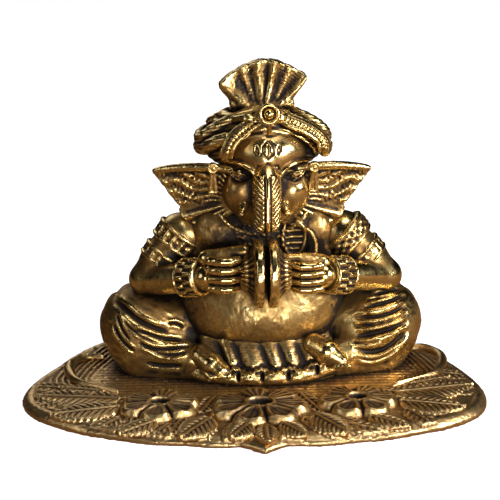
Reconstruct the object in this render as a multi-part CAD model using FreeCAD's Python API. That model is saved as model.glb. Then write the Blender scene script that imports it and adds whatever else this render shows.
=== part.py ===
"""Seated elephant-headed idol playing hand cymbals, on a leaf-shaped plate.

Millimetres. +Z is up and the figure faces -Y. The origin is on the plate's underside,
under the middle of its outline. "left" and "right" are as the viewer sees them, so left is -X.
Figure parts are modelled about the figure's own middle plane, x = 0, and moved by
FIGURE_X when written, because the figure stands a little to the right of the plate's middle.

Every piece is cut clear of the pieces it sits against, so pieces touch and never overlap.
"""

import FreeCAD, Part
import math
import os

Vector = FreeCAD.Vector

# --- Driving dimensions -------------------------------------------------------------------

PLATE_HALF_WIDTH = 95.0
PLATE_FRONT = -55.0
PLATE_TIP = -61.0
PLATE_BACK = 61.0
PLATE_TOP = 4.0
PLATE_FOOT_HEIGHT = 2.0
PLATE_FOOT_WIDTH = 5.0
PLATE_STEP_HEIGHT = 3.0
PLATE_EDGE_STEP = 1.2

FIGURE_X = 4.6
FIGURE_Y = 16.0
FIGURE_TOP = 133.5

BELLY_RADII = (36.0, 20.0, 28.0)
BELLY_Z = 31.0
CHEST_RADII = (31.0, 15.0, 19.0)
CHEST_Z = 60.0
SEAT_RADII = (30.0, 17.0)
CASTING_WALL = 4.5

KNEE = (-50.0, 17.0, 21.0)
KNEE_RADII = (19.5, 19.0, 18.5)
HIP = (-24.0, 22.0, 22.0)
HIP_RADIUS = 12.5
THIGH_END = (-48.0, 18.0, 20.5)
THIGH_END_RADIUS = 15.5
SHIN_TOP = (-52.0, 10.0, 15.0)
SHIN_TOP_RADIUS = 12.0
ANKLE = (-31.0, -1.5, 12.5)
ANKLE_RADIUS = 7.0
LEFT_FOOT = (-23.8, -4.0, 11.5)
LEFT_FOOT_RADII = (8.5, 6.5, 6.5)
LEFT_FOOT_TILT = 32.0
RIGHT_FOOT = (26.0, -3.5, 16.0)
RIGHT_FOOT_RADII = (10.0, 7.5, 6.0)
RIGHT_FOOT_TILT = 15.0

HEAD_RADII = (18.5, 17.0, 21.0)
HEAD_Y = 17.0
HEAD_Z = 90.0
CHEEK_RADII = (7.0, 8.0, 8.0)
CHEEK_SPACING = 19.0
CHEEK_Z = 80.5
TRUNK_BROW = (0.0, 3.0, 98.5)
TRUNK_BROW_RADIUS = 5.2
TRUNK_BRIDGE = (0.0, -3.4, 85.0)
TRUNK_RADIUS = 6.4
TRUNK_END_Y = -5.5
TRUNK_END_RADIUS = 5.8
TRUNK_END_Z = 68.5
EAR_ROOT_Y = 7.0
EAR_THICKNESS = 4.5
EAR_SWEEP = 13.0
TUSK_ROOT = (-8.6, 3.0, 78.5)
TUSK_LENGTH = 8.0
TUSK_ROOT_RADIUS = 2.6
TUSK_TIP_RADIUS = 1.1

SHOULDER = (-34.0, 17.0, 61.0)
ELBOW = (-48.8, 14.0, 43.0)
# The right elbow is held this much further out than the left one.
RIGHT_ELBOW_REACH = 3.5
WRIST = (-24.0, -6.0, 51.0)
SHOULDER_RADIUS = 9.5
ELBOW_RADIUS = 7.2
WRIST_RADIUS = 5.5
HAND_SIZE = (13.0, 12.0, 15.5)
HAND_CORNER = (-23.5, -14.5, 46.4)
HAND_ROUNDING = 3.6

CYMBAL_RADIUS = 14.0
CYMBAL_CENTRE = (-1.0, -9.0, 53.5)
CYMBAL_THICKNESS = 3.8
CYMBAL_DOME = 6.5

TURBAN_RADII = (29.5, 22.0, 13.0)
TURBAN_Z = 100.5
TURBAN_HEM_Z = 91.0
FACE_WINDOW_RADII = (19.5, 21.5)
FACE_WINDOW_Z = 88.0
TURBAN_BAND_RADIUS = 3.6
TURBAN_TOP_RADII = (22.5, 18.5, 9.0)
TURBAN_TOP_Z = 108.0
TURBAN_NECK_RADII = (13.5, 10.5)
TURBAN_NECK_Z = 112.5
TURBAN_NECK_HEIGHT = 5.0
JEWEL_SEAT = (1.2, 8.0, 113.6)
JEWEL_RADIUS = 4.7
JEWEL_DEPTH = 9.5
CREST_THICKNESS = 7.5
CREST_NECK_Z = 113.0
CREST_SIDE_Z = 124.5
NECKLACE_RADIUS = 2.4
EARRING_STUD = (-20.5, 5.6, 93.2)
EARRING_STUD_RADIUS = 2.3
EARRING_BAR_SIZE = (3.2, 2.6, 10.5)

SCREW_SPACING = 44.0
SCREW_RADIUS = 1.95
SCREW_BORE_RADIUS = 2.0
SCREW_CLEARANCE_RADIUS = 2.2
SCREW_LENGTH = 10.0
SCREW_HEAD_RADIUS = 3.6
SCREW_HEAD_HEIGHT = 1.4
SCREW_SLOT_WIDTH = 0.8
SCREW_SLOT_DEPTH = 0.7
WASHER_RADIUS = 4.4
WASHER_THICKNESS = 0.4
BOSS_RADIUS = 4.5
BOSS_TOP = 19.0

# A cut is tried exactly first, then with these widening tolerances.
CUT_TOLERANCES = (0.0, 0.001, 0.01)
# Offcuts smaller than this many cubic millimetres are dropped when a piece is cut.
MINIMUM_PIECE = 4.0


# --- Shape helpers ------------------------------------------------------------------------

def ellipsoid(centre, radii, turn=0.0, turn_axis=(0, 1, 0)):
    """An ellipsoid with its three radii along X, Y and Z, then turned by degrees about its centre."""
    stretch = FreeCAD.Matrix()
    stretch.scale(*radii)
    solid = Part.makeSphere(1.0).transformGeometry(stretch)
    solid.rotate(Vector(0, 0, 0), Vector(*turn_axis), turn)
    solid.translate(Vector(*centre))
    return solid


def elliptic_column(centre, radii, bottom, top):
    """An upright column of elliptical section."""
    stretch = FreeCAD.Matrix()
    stretch.scale(radii[0], radii[1], 1.0)
    solid = Part.makeCylinder(1.0, top - bottom).transformGeometry(stretch)
    solid.translate(Vector(centre[0], centre[1], bottom))
    return solid


def tapered_limb(start, start_radius, end, end_radius):
    """A round-ended limb between two points."""
    start, end = Vector(*start), Vector(*end)
    run = end - start
    cone = Part.makeCone(start_radius, end_radius, run.Length, start, run)
    balls = [Part.makeSphere(start_radius, start), Part.makeSphere(end_radius, end)]
    return cone.multiFuse(balls)


def collar(start, end, radius_start, radius_end, share_from, share_to, stand_out):
    """A band round a tapered limb, covering part of its run and standing out from it."""
    start, end = Vector(*start), Vector(*end)
    run = end - start
    foot = start + run * share_from
    height = run.Length * (share_to - share_from)
    low = radius_start + (radius_end - radius_start) * share_from + stand_out
    high = radius_start + (radius_end - radius_start) * share_to + stand_out
    return Part.makeCone(low, high, height, foot, run)


def tube(points, radii):
    """A smooth round tube through points, with a radius at each one."""
    spine = Part.BSplineCurve()
    spine.interpolate([Vector(*p) for p in points])
    rings = []
    for point, radius in zip(points, radii):
        at = spine.parameter(Vector(*point))
        rings.append(Part.Wire(Part.makeCircle(radius, spine.value(at), spine.tangent(at)[0])))
    return Part.makeLoft(rings, True)


def smooth_edge(points):
    """One smooth curve through points."""
    curve = Part.BSplineCurve()
    curve.interpolate([Vector(*p) for p in points])
    return curve.toShape()


def prism(edges, direction):
    """A solid swept straight from a closed outline."""
    face = Part.Face(Part.Wire(edges))
    return face.extrude(Vector(*direction))


def mirrored(shape):
    """The same piece on the other side of the figure's middle plane."""
    return shape.mirror(Vector(0, 0, 0), Vector(1, 0, 0))


def above_plate(shape):
    """What is left of a shape above the plate's top face."""
    ground = Part.makeBox(400, 400, 100, Vector(-200, -200, PLATE_TOP - 100))
    return shape.cut(ground)


# --- Plate --------------------------------------------------------------------------------

def plate_outline(share=1.0, height=0.0):
    """From the front tip round the right side to the back, then round the left side to the tip.

    Each side has a broad front lobe, a notch and a rounder back lobe. share draws the outline
    smaller about the origin, and height is the level it lies at.
    """
    half = PLATE_HALF_WIDTH
    tip, back = (1.5, PLATE_TIP), (0.0, PLATE_BACK)
    right_root, left_root = (10.5, PLATE_FRONT - 1.0), (-8.0, PLATE_FRONT - 1.0)
    right_notch, left_notch = (half - 8.0, 10.0), (11.0 - half, 14.0)
    right_front = [right_root, (33.0, -55.2), (55.0, -51.2), (77.0, -43.6), (90.0, -34.0), (half, -21.5)]
    right_front += [(half - 1.6, -6.5), right_notch]
    right_back = [right_notch, (77.0, 23.5), (59.0, 44.0), (28.5, 57.0), back]
    left_back = [back, (-28.5, 57.0), (-58.0, 45.0), (-74.0, 30.5), left_notch]
    left_front = [left_notch, (-91.2, 1.6), (-half, -14.5), (-91.2, -25.0), (-79.6, -35.6)]
    left_front += [(-60.0, -46.0), (-37.0, -52.4), left_root]
    right_tip = [tip, (5.5, PLATE_TIP + 2.6), right_root]
    left_tip = [left_root, (-3.0, PLATE_TIP + 2.6), tip]
    edges = []
    for run in (right_tip, right_front, right_back, left_back, left_front, left_tip):
        edges.append(smooth_edge([(x * share, y * share, height) for x, y in run]))
    return Part.Face(Part.Wire(edges))


def screw_places():
    """The two fixing screws stand on a line across the figure, in plate coordinates."""
    return [(FIGURE_X + side * SCREW_SPACING / 2, FIGURE_Y) for side in (-1, 1)]


def base_plate():
    """A cast plate, recessed below so that it rests on a foot round its edge."""
    inside = 1.0 - PLATE_FOOT_WIDTH / PLATE_HALF_WIDTH
    stepped = 1.0 - PLATE_EDGE_STEP / PLATE_HALF_WIDTH
    foot = plate_outline().extrude(Vector(0, 0, PLATE_STEP_HEIGHT))
    recess = plate_outline(inside).extrude(Vector(0, 0, PLATE_FOOT_HEIGHT))
    deck = plate_outline(stepped, PLATE_STEP_HEIGHT).extrude(Vector(0, 0, PLATE_TOP - PLATE_STEP_HEIGHT))
    plate = foot.cut(recess).fuse(deck)
    for x, y in screw_places():
        plate = plate.cut(Part.makeCylinder(SCREW_CLEARANCE_RADIUS, PLATE_TOP, Vector(x, y, 0)))
    return plate


def flower(centre, radii, petals):
    """A rosette with a scalloped edge, one arc to each petal, and a raised cup in the middle."""
    rise, cup_rise, well_depth = 3.2, 4.4, 1.7
    cup_radius = 0.28 * radii[1]
    dip = 0.84

    def rim(angle, share):
        x = centre[0] + radii[0] * share * math.cos(angle)
        return Vector(x, centre[1] + radii[1] * share * math.sin(angle), PLATE_TOP)

    edges = []
    for i in range(petals):
        start, end = (2 * math.pi * (i + turn) / petals for turn in (0.25, 1.25))
        arc = Part.Arc(rim(start, dip), rim((start + end) / 2, 1.0), rim(end, dip))
        edges.append(arc.toShape())
    rosette = prism(edges, (0, 0, rise))
    middle = Vector(*centre, PLATE_TOP)
    cup = Part.makeCylinder(cup_radius, cup_rise, middle)
    well = Part.makeCylinder(0.65 * cup_radius, well_depth, middle + Vector(0, 0, cup_rise - well_depth))
    return rosette.fuse(cup).cut(well)


def leaf(root, tip, half_width, rise=2.2):
    """A pointed leaf lying on the plate, from its root to its tip."""
    root, tip = Vector(*root, PLATE_TOP), Vector(*tip, PLATE_TOP)
    run = tip - root
    across = Vector(-run.y, run.x, 0).normalize() * half_width
    sides = []
    for sign in (1, -1):
        bulge = root + run * 0.45 + across * sign
        sides.append(Part.Arc(root, bulge, tip).toShape())
    return prism(sides, (0, 0, rise))


def scroll(points, width=2.4, rise=2.6):
    """A curled rib on the plate: a band following a curve."""
    spine = smooth_edge([(x, y, PLATE_TOP) for x, y in points])
    start = Vector(*points[0], PLATE_TOP)
    run = spine.tangentAt(spine.FirstParameter)
    across = Vector(-run.y, run.x, 0).normalize() * width
    up = Vector(0, 0, rise)
    corners = [start - across, start + across, start + across * 0.5 + up, start - across * 0.5 + up]
    section = Part.makePolygon(corners + [corners[0]])
    sweep = Part.BRepOffsetAPI.MakePipeShell(Part.Wire([spine]))
    sweep.setFrenetMode(False)
    sweep.setBiNormalMode(Vector(0, 0, 1))
    sweep.add(section)
    sweep.build()
    sweep.makeSolid()
    return sweep.shape()


FLOWERS = {
    "centre_flower": ((1.0, -32.0), (21.0, 15.5), 7),
    "left_flower": ((-38.5, -29.0), (17.0, 13.0), 6),
    "right_flower": ((40.5, -29.0), (17.0, 13.5), 6),
}

LEAF_SPREADS = {
    "left_leaves": [
        ((-55.0, -22.0), (-90.0, -17.0), 9.5),
        ((-54.0, -30.0), (-80.0, -33.0), 6.5),
    ],
    "right_leaves": [
        ((57.0, -20.0), (91.0, -15.0), 9.0),
        ((57.0, -29.0), (85.0, -35.5), 7.5),
    ],
    "front_leaves": [
        ((-44.0, -41.0), (-54.0, -46.2), 4.5),
        ((-21.0, -40.0), (-30.0, -51.8), 6.5),
        ((-6.0, -46.0), (-11.0, -55.0), 4.5),
        ((1.5, -46.5), (1.5, -59.5), 3.6),
        ((8.5, -46.0), (14.0, -54.5), 4.5),
        ((22.0, -40.0), (31.0, -54.0), 6.5),
        ((45.0, -41.5), (58.0, -48.0), 4.5),
    ],
}

SCROLLS = {
    "left_scroll": [(-60.0, 17.5), (-71.0, 18.0), (-77.0, 11.0), (-75.0, 1.0), (-68.0, -7.5), (-56.0, -15.0)],
    "right_scroll": [(64.0, 19.5), (76.0, 20.0), (82.0, 13.0), (80.0, 3.0), (71.0, -6.5), (57.0, -15.0)],
}


# --- Figure -------------------------------------------------------------------------------

def filled_torso():
    """The outer shape of belly, chest and seat."""
    belly = ellipsoid((0, FIGURE_Y, BELLY_Z), BELLY_RADII)
    chest = ellipsoid((0, FIGURE_Y + 2, CHEST_Z), CHEST_RADII)
    seat = elliptic_column((0, FIGURE_Y), SEAT_RADII, PLATE_TOP, BELLY_Z)
    return above_plate(belly.multiFuse([chest, seat]))


def torso():
    """Belly, chest and seat in one hollow casting, open below, with two screw bosses inside."""
    body = filled_torso()
    hollow = ellipsoid((0, FIGURE_Y, BELLY_Z), [r - CASTING_WALL for r in BELLY_RADII])
    opening = [r - CASTING_WALL for r in SEAT_RADII]
    hollow = hollow.fuse(elliptic_column((0, FIGURE_Y), opening, PLATE_TOP, BELLY_Z))
    body = body.cut(hollow)
    for side in (-1, 1):
        place = Vector(side * SCREW_SPACING / 2, FIGURE_Y, PLATE_TOP)
        body = body.fuse(Part.makeCylinder(BOSS_RADIUS, BOSS_TOP - PLATE_TOP, place))
        body = body.cut(Part.makeCylinder(SCREW_BORE_RADIUS, SCREW_LENGTH, place))
    return body


def left_leg():
    """Thigh and knee under the dhoti, with the shin folded in front, hollow from below."""
    knee = ellipsoid(KNEE, KNEE_RADII)
    thigh = tapered_limb(HIP, HIP_RADIUS, THIGH_END, THIGH_END_RADIUS)
    shin = tapered_limb(SHIN_TOP, SHIN_TOP_RADIUS, ANKLE, ANKLE_RADIUS)
    leg = above_plate(knee.multiFuse([thigh, shin]))
    x, y, z = KNEE
    hollow = ellipsoid((x, y, z - CASTING_WALL), [r - CASTING_WALL for r in KNEE_RADII])
    return leg.cut(hollow)


def left_foot():
    """The lower foot, pointing down and inwards."""
    return above_plate(ellipsoid(LEFT_FOOT, LEFT_FOOT_RADII, LEFT_FOOT_TILT))


def right_foot():
    """The upper foot, lying across the other shin."""
    return above_plate(ellipsoid(RIGHT_FOOT, RIGHT_FOOT_RADII, RIGHT_FOOT_TILT))


def dhoti_pleats():
    """The gathered cloth spread over the plate in front of the crossed legs.

    Each section is an ellipse: its height, its two radii and how far back its centre lies.
    """
    hem = (PLATE_TOP, 34.0, 15.0, 4.0)
    hem_top = (PLATE_TOP + 5.0, 35.5, 15.5, 4.0)
    fold = (PLATE_TOP + 11.0, 31.0, 13.5, 5.0)
    waist = (PLATE_TOP + 17.0, 24.0, 10.0, 7.5)
    sections = []
    for height, x_radius, y_radius, y in (hem, hem_top, fold, waist):
        ellipse = Part.Ellipse(Vector(0.5, y, height), x_radius, y_radius)
        sections.append(Part.Wire(ellipse.toShape()))
    return Part.makeLoft(sections, True).cut(filled_torso())


def head():
    """Rounded skull with full cheeks."""
    skull = ellipsoid((0, HEAD_Y, HEAD_Z), HEAD_RADII)
    cheeks = []
    for side in (-1, 1):
        place = (side * CHEEK_SPACING / 2, HEAD_Y - 6.0, CHEEK_Z)
        cheeks.append(ellipsoid(place, CHEEK_RADII))
    return skull.multiFuse(cheeks)


def trunk():
    """Hangs straight from the brow to just above the cymbals."""
    end = (0, TRUNK_END_Y, TRUNK_END_Z + TRUNK_END_RADIUS)
    upper = tapered_limb(TRUNK_BROW, TRUNK_BROW_RADIUS, TRUNK_BRIDGE, TRUNK_RADIUS)
    return upper.fuse(tapered_limb(TRUNK_BRIDGE, TRUNK_RADIUS, end, TRUNK_END_RADIUS))


def left_ear():
    """A thin fan: straight along its top, notched at its outer edge, its tip set back."""
    root_top, top, tip = (-12.0, 93.0), (-30.0, 94.0), (-46.0, 90.0)
    flank, notch = (-39.5, 81.5), (-34.5, 73.0)
    lobe_side, lobe_low, lobe_in = (-34.0, 70.5), (-28.5, 67.0), (-20.0, 69.0)
    root_low = (-11.0, 74.0)
    upper_edge = [root_top, top, tip]
    outer_edge = [tip, flank, notch]
    lobe_edge = [notch, lobe_side, lobe_low, lobe_in, root_low]
    root_edge = [root_low, root_top]
    edges = []
    for run in (upper_edge, outer_edge, lobe_edge, root_edge):
        edges.append(smooth_edge([(x, EAR_ROOT_Y, z) for x, z in run]))
    fan = prism(edges, (0, EAR_THICKNESS, 0))
    fan.rotate(Vector(root_top[0], EAR_ROOT_Y, 0), Vector(0, 0, 1), -EAR_SWEEP)
    return fan


def arm(elbow):
    """Upper arm and forearm, with the bent elbow held out."""
    upper = tapered_limb(SHOULDER, SHOULDER_RADIUS, elbow, ELBOW_RADIUS)
    fore = tapered_limb(elbow, ELBOW_RADIUS, WRIST, WRIST_RADIUS)
    return upper.fuse(fore)


def left_hand():
    """A closed hand holding the strap behind its cymbal."""
    block = Part.makeBox(*HAND_SIZE, Vector(*HAND_CORNER))
    return block.makeFillet(HAND_ROUNDING, block.Edges)


def left_cymbal():
    """A small hand cymbal standing on edge, its dome turned outwards."""
    x, y, z = CYMBAL_CENTRE
    chamfer, slope = 0.8, 0.6
    outer_face = x - CYMBAL_THICKNESS
    crown = outer_face - CYMBAL_DOME
    profile = [
        Vector(x, 0, 0),
        Vector(x, CYMBAL_RADIUS - chamfer, 0),
        Vector(x - chamfer, CYMBAL_RADIUS, 0),
        Vector(outer_face, CYMBAL_RADIUS - chamfer, 0),
        Vector(outer_face - slope, 0.68 * CYMBAL_RADIUS, 0),
        Vector(crown, 0.5 * CYMBAL_RADIUS, 0),
        Vector(crown - slope, 0, 0),
    ]
    section = Part.Face(Part.makePolygon(profile + [profile[0]]))
    disc = section.revolve(Vector(0, 0, 0), Vector(1, 0, 0), 360)
    disc.translate(Vector(0, y, z))
    return disc


def upper_armlet(elbow):
    """The wide band round the shoulder."""
    return collar(SHOULDER, elbow, SHOULDER_RADIUS, ELBOW_RADIUS, -0.08, 0.26, 1.5)


def lower_armlet(elbow):
    """The narrower band above the elbow."""
    return collar(SHOULDER, elbow, SHOULDER_RADIUS, ELBOW_RADIUS, 0.38, 0.66, 1.3)


def bracelet(elbow):
    """The cuff round the wrist."""
    return collar(elbow, WRIST, ELBOW_RADIUS, WRIST_RADIUS, 0.64, 0.96, 1.7)


def turban_wrap():
    """The wound cloth: a broad cap with an arched opening for the face."""
    cap = ellipsoid((0, HEAD_Y + 2, TURBAN_Z), TURBAN_RADII)
    stretch = FreeCAD.Matrix()
    stretch.scale(FACE_WINDOW_RADII[0], 1.0, FACE_WINDOW_RADII[1])
    window = Part.makeCylinder(1.0, 40, Vector(0, -27, 0), Vector(0, 1, 0)).transformGeometry(stretch)
    window.translate(Vector(0, 0, FACE_WINDOW_Z))
    skirt = Part.makeBox(100, 100, 40, Vector(-50, -50, TURBAN_HEM_Z - 40))
    return cap.cut(window).cut(skirt)


def turban_band():
    """The beaded roll that frames the forehead, arched from ear to ear."""
    low_angle, steps = 14.0, 6
    half_span, arch_height, arch_depth = 23.5, 23.5, 11.5
    points = []
    for step in range(steps + 1):
        angle = math.radians(low_angle + step * (180 - 2 * low_angle) / steps)
        x = half_span * math.cos(angle)
        y = arch_depth * (1 - math.sin(angle))
        points.append((x, y, FACE_WINDOW_Z + arch_height * math.sin(angle)))
    return tube(points, [TURBAN_BAND_RADIUS] * len(points))


def turban_top():
    """The upper folds, drawn together under the crest."""
    folds = ellipsoid((0, HEAD_Y + 3, TURBAN_TOP_Z), TURBAN_TOP_RADII)
    foot = Vector(0, HEAD_Y + 6, TURBAN_NECK_Z)
    neck = Part.makeCone(*TURBAN_NECK_RADII, TURBAN_NECK_HEIGHT, foot, Vector(0, 0, 1))
    return folds.fuse(neck)


def turban_jewel():
    """A round set stone in a rim, on the front of the turban."""
    axis = Vector(0, -1, 0.25).normalize()
    seat = Vector(*JEWEL_SEAT)
    rim = Part.makeCylinder(JEWEL_RADIUS, JEWEL_DEPTH, seat, axis)
    stone = Part.makeSphere(0.68 * JEWEL_RADIUS, seat + axis * (JEWEL_DEPTH - 0.6))
    return rim.fuse(stone)


def crest_fan():
    """The pleated end of the turban cloth, standing up and opened like a fan."""
    front = HEAD_Y + 3.5
    left_side = [
        (-11.0, front, CREST_NECK_Z),
        (-13.5, front, CREST_NECK_Z + 5),
        (-18.5, front, CREST_SIDE_Z - 1),
    ]
    right_side = [
        (18.5, front, CREST_SIDE_Z + 1),
        (14.0, front, CREST_NECK_Z + 6),
        (11.5, front, CREST_NECK_Z),
    ]
    edges = [
        smooth_edge(left_side),
        smooth_edge([left_side[-1], (0.0, front, FIGURE_TOP), right_side[0]]),
        smooth_edge(right_side),
        smooth_edge([right_side[-1], left_side[0]]),
    ]
    return prism(edges, (0, CREST_THICKNESS, 0))


def left_earring():
    """A round stud with a bar hanging from it, in front of the ear's root."""
    x, y, z = EARRING_STUD
    width, depth, length = EARRING_BAR_SIZE
    stud = Part.makeSphere(EARRING_STUD_RADIUS, Vector(x, y, z))
    bar = Part.makeBox(width, depth, length, Vector(x - width / 2, y - 1.0, z - length - 0.7))
    return stud.fuse(bar)


def necklace():
    """A beaded cord hanging from the neck over the chest, above the cymbals."""
    right_side = [(9.0, 3.9, 65.3), (16.0, 6.6, 69.0), (20.0, 10.5, 74.5)]
    left_side = [(-x, y, z) for x, y, z in reversed(right_side)]
    points = left_side + [(0.0, 2.9, 64.0)] + right_side
    return tube(points, [NECKLACE_RADIUS] * len(points))


def left_tusk():
    """A short tusk stub at the side of the trunk."""
    direction = Vector(-0.25, -0.85, -0.45)
    return Part.makeCone(TUSK_ROOT_RADIUS, TUSK_TIP_RADIUS, TUSK_LENGTH, Vector(*TUSK_ROOT), direction)


# --- Fasteners ----------------------------------------------------------------------------

def fixing_screws():
    """Two pan-head screws up through the plate into the torso's bosses, as one group."""
    solids = []
    for x, y in screw_places():
        seat = PLATE_FOOT_HEIGHT - WASHER_THICKNESS
        underside = Vector(x, y, seat - SCREW_HEAD_HEIGHT)
        screw_head = Part.makeCylinder(SCREW_HEAD_RADIUS, SCREW_HEAD_HEIGHT, underside)
        slot = Part.makeBox(2 * SCREW_HEAD_RADIUS, SCREW_SLOT_WIDTH, SCREW_SLOT_DEPTH)
        slot.translate(underside - Vector(SCREW_HEAD_RADIUS, SCREW_SLOT_WIDTH / 2, 0))
        shank = Part.makeCylinder(SCREW_RADIUS, SCREW_LENGTH + seat, Vector(x, y, seat))
        solids.append(screw_head.cut(slot).fuse(shank))
    return Part.makeCompound(solids)


def screw_washers():
    """One flat washer under each screw head, as one group."""
    solids = []
    for x, y in screw_places():
        foot = Vector(x, y, PLATE_FOOT_HEIGHT - WASHER_THICKNESS)
        ring = Part.makeCylinder(WASHER_RADIUS, WASHER_THICKNESS, foot)
        solids.append(ring.cut(Part.makeCylinder(SCREW_CLEARANCE_RADIUS, WASHER_THICKNESS, foot)))
    return Part.makeCompound(solids)


# --- Assembly -----------------------------------------------------------------------------

def pieces_in_order():
    """(name, raw shape) in the order they are fitted: each is cut clear of those before it."""
    yield "base_plate", base_plate()
    figure = [("torso", torso()), ("head", head()), ("trunk", trunk())]
    leg, ear = left_leg(), left_ear()
    left_elbow, right_elbow = ELBOW, (ELBOW[0] - RIGHT_ELBOW_REACH, *ELBOW[1:])
    figure += [("left_leg", leg), ("right_leg", mirrored(leg))]
    figure += [("left_foot", left_foot()), ("right_foot", right_foot())]
    figure += [("dhoti_pleats", dhoti_pleats())]
    cymbal = left_cymbal()
    figure += [("left_cymbal", cymbal), ("right_cymbal", mirrored(cymbal))]
    figure += [("left_ear", ear), ("right_ear", mirrored(ear))]
    hand, tusk = left_hand(), left_tusk()
    figure += [("left_arm", arm(left_elbow)), ("right_arm", mirrored(arm(right_elbow)))]
    figure += [("left_hand", hand), ("right_hand", mirrored(hand))]
    bands = {"upper_armlet": upper_armlet, "lower_armlet": lower_armlet, "bracelet": bracelet}
    for name, make in bands.items():
        figure += [("left_" + name, make(left_elbow)), ("right_" + name, mirrored(make(right_elbow)))]
    figure += [("left_tusk", tusk), ("right_tusk", mirrored(tusk))]
    figure += [("turban_band", turban_band()), ("turban_wrap", turban_wrap())]
    figure += [("turban_top", turban_top()), ("turban_jewel", turban_jewel()), ("crest_fan", crest_fan())]
    earring = left_earring()
    figure += [("left_earring", earring), ("right_earring", mirrored(earring)), ("necklace", necklace())]
    for name, shape in figure:
        shape = shape.copy()
        shape.translate(Vector(FIGURE_X, 0, 0))
        yield name, shape
    yield "fixing_screws", fixing_screws()
    yield "screw_washers", screw_washers()
    for name, (centre, radii, petals) in FLOWERS.items():
        yield name, flower(centre, radii, petals)
    for name, points in SCROLLS.items():
        yield name, scroll(points)
    for name, leaves in LEAF_SPREADS.items():
        yield name, Part.makeCompound([leaf(*one) for one in leaves])


def cut_clear(solids, neighbour):
    """The solids with one neighbour cut away, keeping only what is of a useful size."""
    kept = []
    for solid in solids:
        if not solid.BoundBox.intersect(neighbour.BoundBox):
            kept.append(solid)
            continue
        for tolerance in CUT_TOLERANCES:
            rest = solid.cut((neighbour,), tolerance)
            if not rest.isNull() and rest.isValid() and rest.Solids:
                break
        else:
            raise RuntimeError("a piece could not be cut clear of its neighbour")
        kept += [s for s in rest.Solids if s.Volume > MINIMUM_PIECE]
    return kept


def main():
    os.makedirs("parts", exist_ok=True)
    placed = []
    for name, raw in pieces_in_order():
        solids = raw.Solids
        for neighbour in placed:
            solids = cut_clear(solids, neighbour)
        if len(raw.Solids) == 1:
            solids = [max(solids, key=lambda s: s.Volume)]
        piece = solids[0] if len(solids) == 1 else Part.makeCompound(solids)
        piece.exportStep(f"parts/{name}.step")
        placed += solids
        print(f"{name:20s} {len(solids)} solids, valid {piece.isValid()}, {piece.Volume:9.0f} mm3")


main()
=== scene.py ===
import math
from collections import namedtuple

import bpy
import numpy as np
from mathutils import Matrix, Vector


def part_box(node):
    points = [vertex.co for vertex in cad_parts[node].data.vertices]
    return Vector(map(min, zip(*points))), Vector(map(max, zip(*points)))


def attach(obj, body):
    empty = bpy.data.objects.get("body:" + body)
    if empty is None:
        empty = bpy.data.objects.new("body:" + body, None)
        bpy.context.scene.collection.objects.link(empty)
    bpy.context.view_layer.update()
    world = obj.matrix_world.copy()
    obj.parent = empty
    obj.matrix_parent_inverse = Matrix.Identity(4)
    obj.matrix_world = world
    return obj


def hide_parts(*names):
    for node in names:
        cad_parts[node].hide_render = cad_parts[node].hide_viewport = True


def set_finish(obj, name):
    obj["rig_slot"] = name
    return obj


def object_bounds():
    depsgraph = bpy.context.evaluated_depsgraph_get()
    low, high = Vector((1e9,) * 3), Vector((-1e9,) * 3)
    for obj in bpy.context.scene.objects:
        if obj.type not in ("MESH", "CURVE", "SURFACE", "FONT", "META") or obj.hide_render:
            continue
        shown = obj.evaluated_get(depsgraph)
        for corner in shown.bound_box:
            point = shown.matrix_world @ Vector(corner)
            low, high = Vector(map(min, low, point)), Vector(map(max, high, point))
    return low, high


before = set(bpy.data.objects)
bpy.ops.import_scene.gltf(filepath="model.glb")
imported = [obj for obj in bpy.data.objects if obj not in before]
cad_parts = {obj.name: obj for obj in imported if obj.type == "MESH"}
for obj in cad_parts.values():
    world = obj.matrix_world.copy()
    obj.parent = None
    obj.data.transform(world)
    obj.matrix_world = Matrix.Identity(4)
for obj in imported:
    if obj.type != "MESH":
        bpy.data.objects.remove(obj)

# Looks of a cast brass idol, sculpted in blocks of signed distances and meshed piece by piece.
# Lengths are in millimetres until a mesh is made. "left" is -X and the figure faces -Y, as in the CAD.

import openvdb
from mathutils import Vector

CAD_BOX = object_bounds()
MM = 0.001
FAR = 5.0
REACH = 3.0
COARSER = 1.0
FINE, PLAIN, BROAD = 0.33 * COARSER, 0.42 * COARSER, 0.5 * COARSER
TWO_PI = 2 * math.pi

Shape = namedtuple("Shape", "low high field")


# --- Places -----------------------------------------------------------------------------------

class Box:
    """The box round one or more CAD nodes, in millimetres."""

    def __init__(self, *nodes):
        corners = [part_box(node) for node in nodes]
        self.low = np.min([np.array(low) for low, high in corners], 0) / MM
        self.high = np.max([np.array(high) for low, high in corners], 0) / MM
        self.centre = (self.low + self.high) / 2
        self.half = (self.high - self.low) / 2

    def at(self, u, v, w):
        """A point of the box: each of u, v and w runs from -1 at the low side to 1 at the high side."""
        return self.centre + self.half * (u, v, w)


CAMERA_RISE = math.radians(20)
LIFT, LEAN = math.cos(CAMERA_RISE), math.sin(CAMERA_RISE)
AXIS_X = Box("head").centre[0]
GROUND_Z = Box("base_plate").high[2]


def off_axis(side, x, y, z):
    """A point given by its distance from the figure's middle plane, on the side -1 or 1."""
    return np.array((AXIS_X + side * x, y, z), float)


# --- Shapes: each gives its box and its signed distance ------------------------------------------

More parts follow.
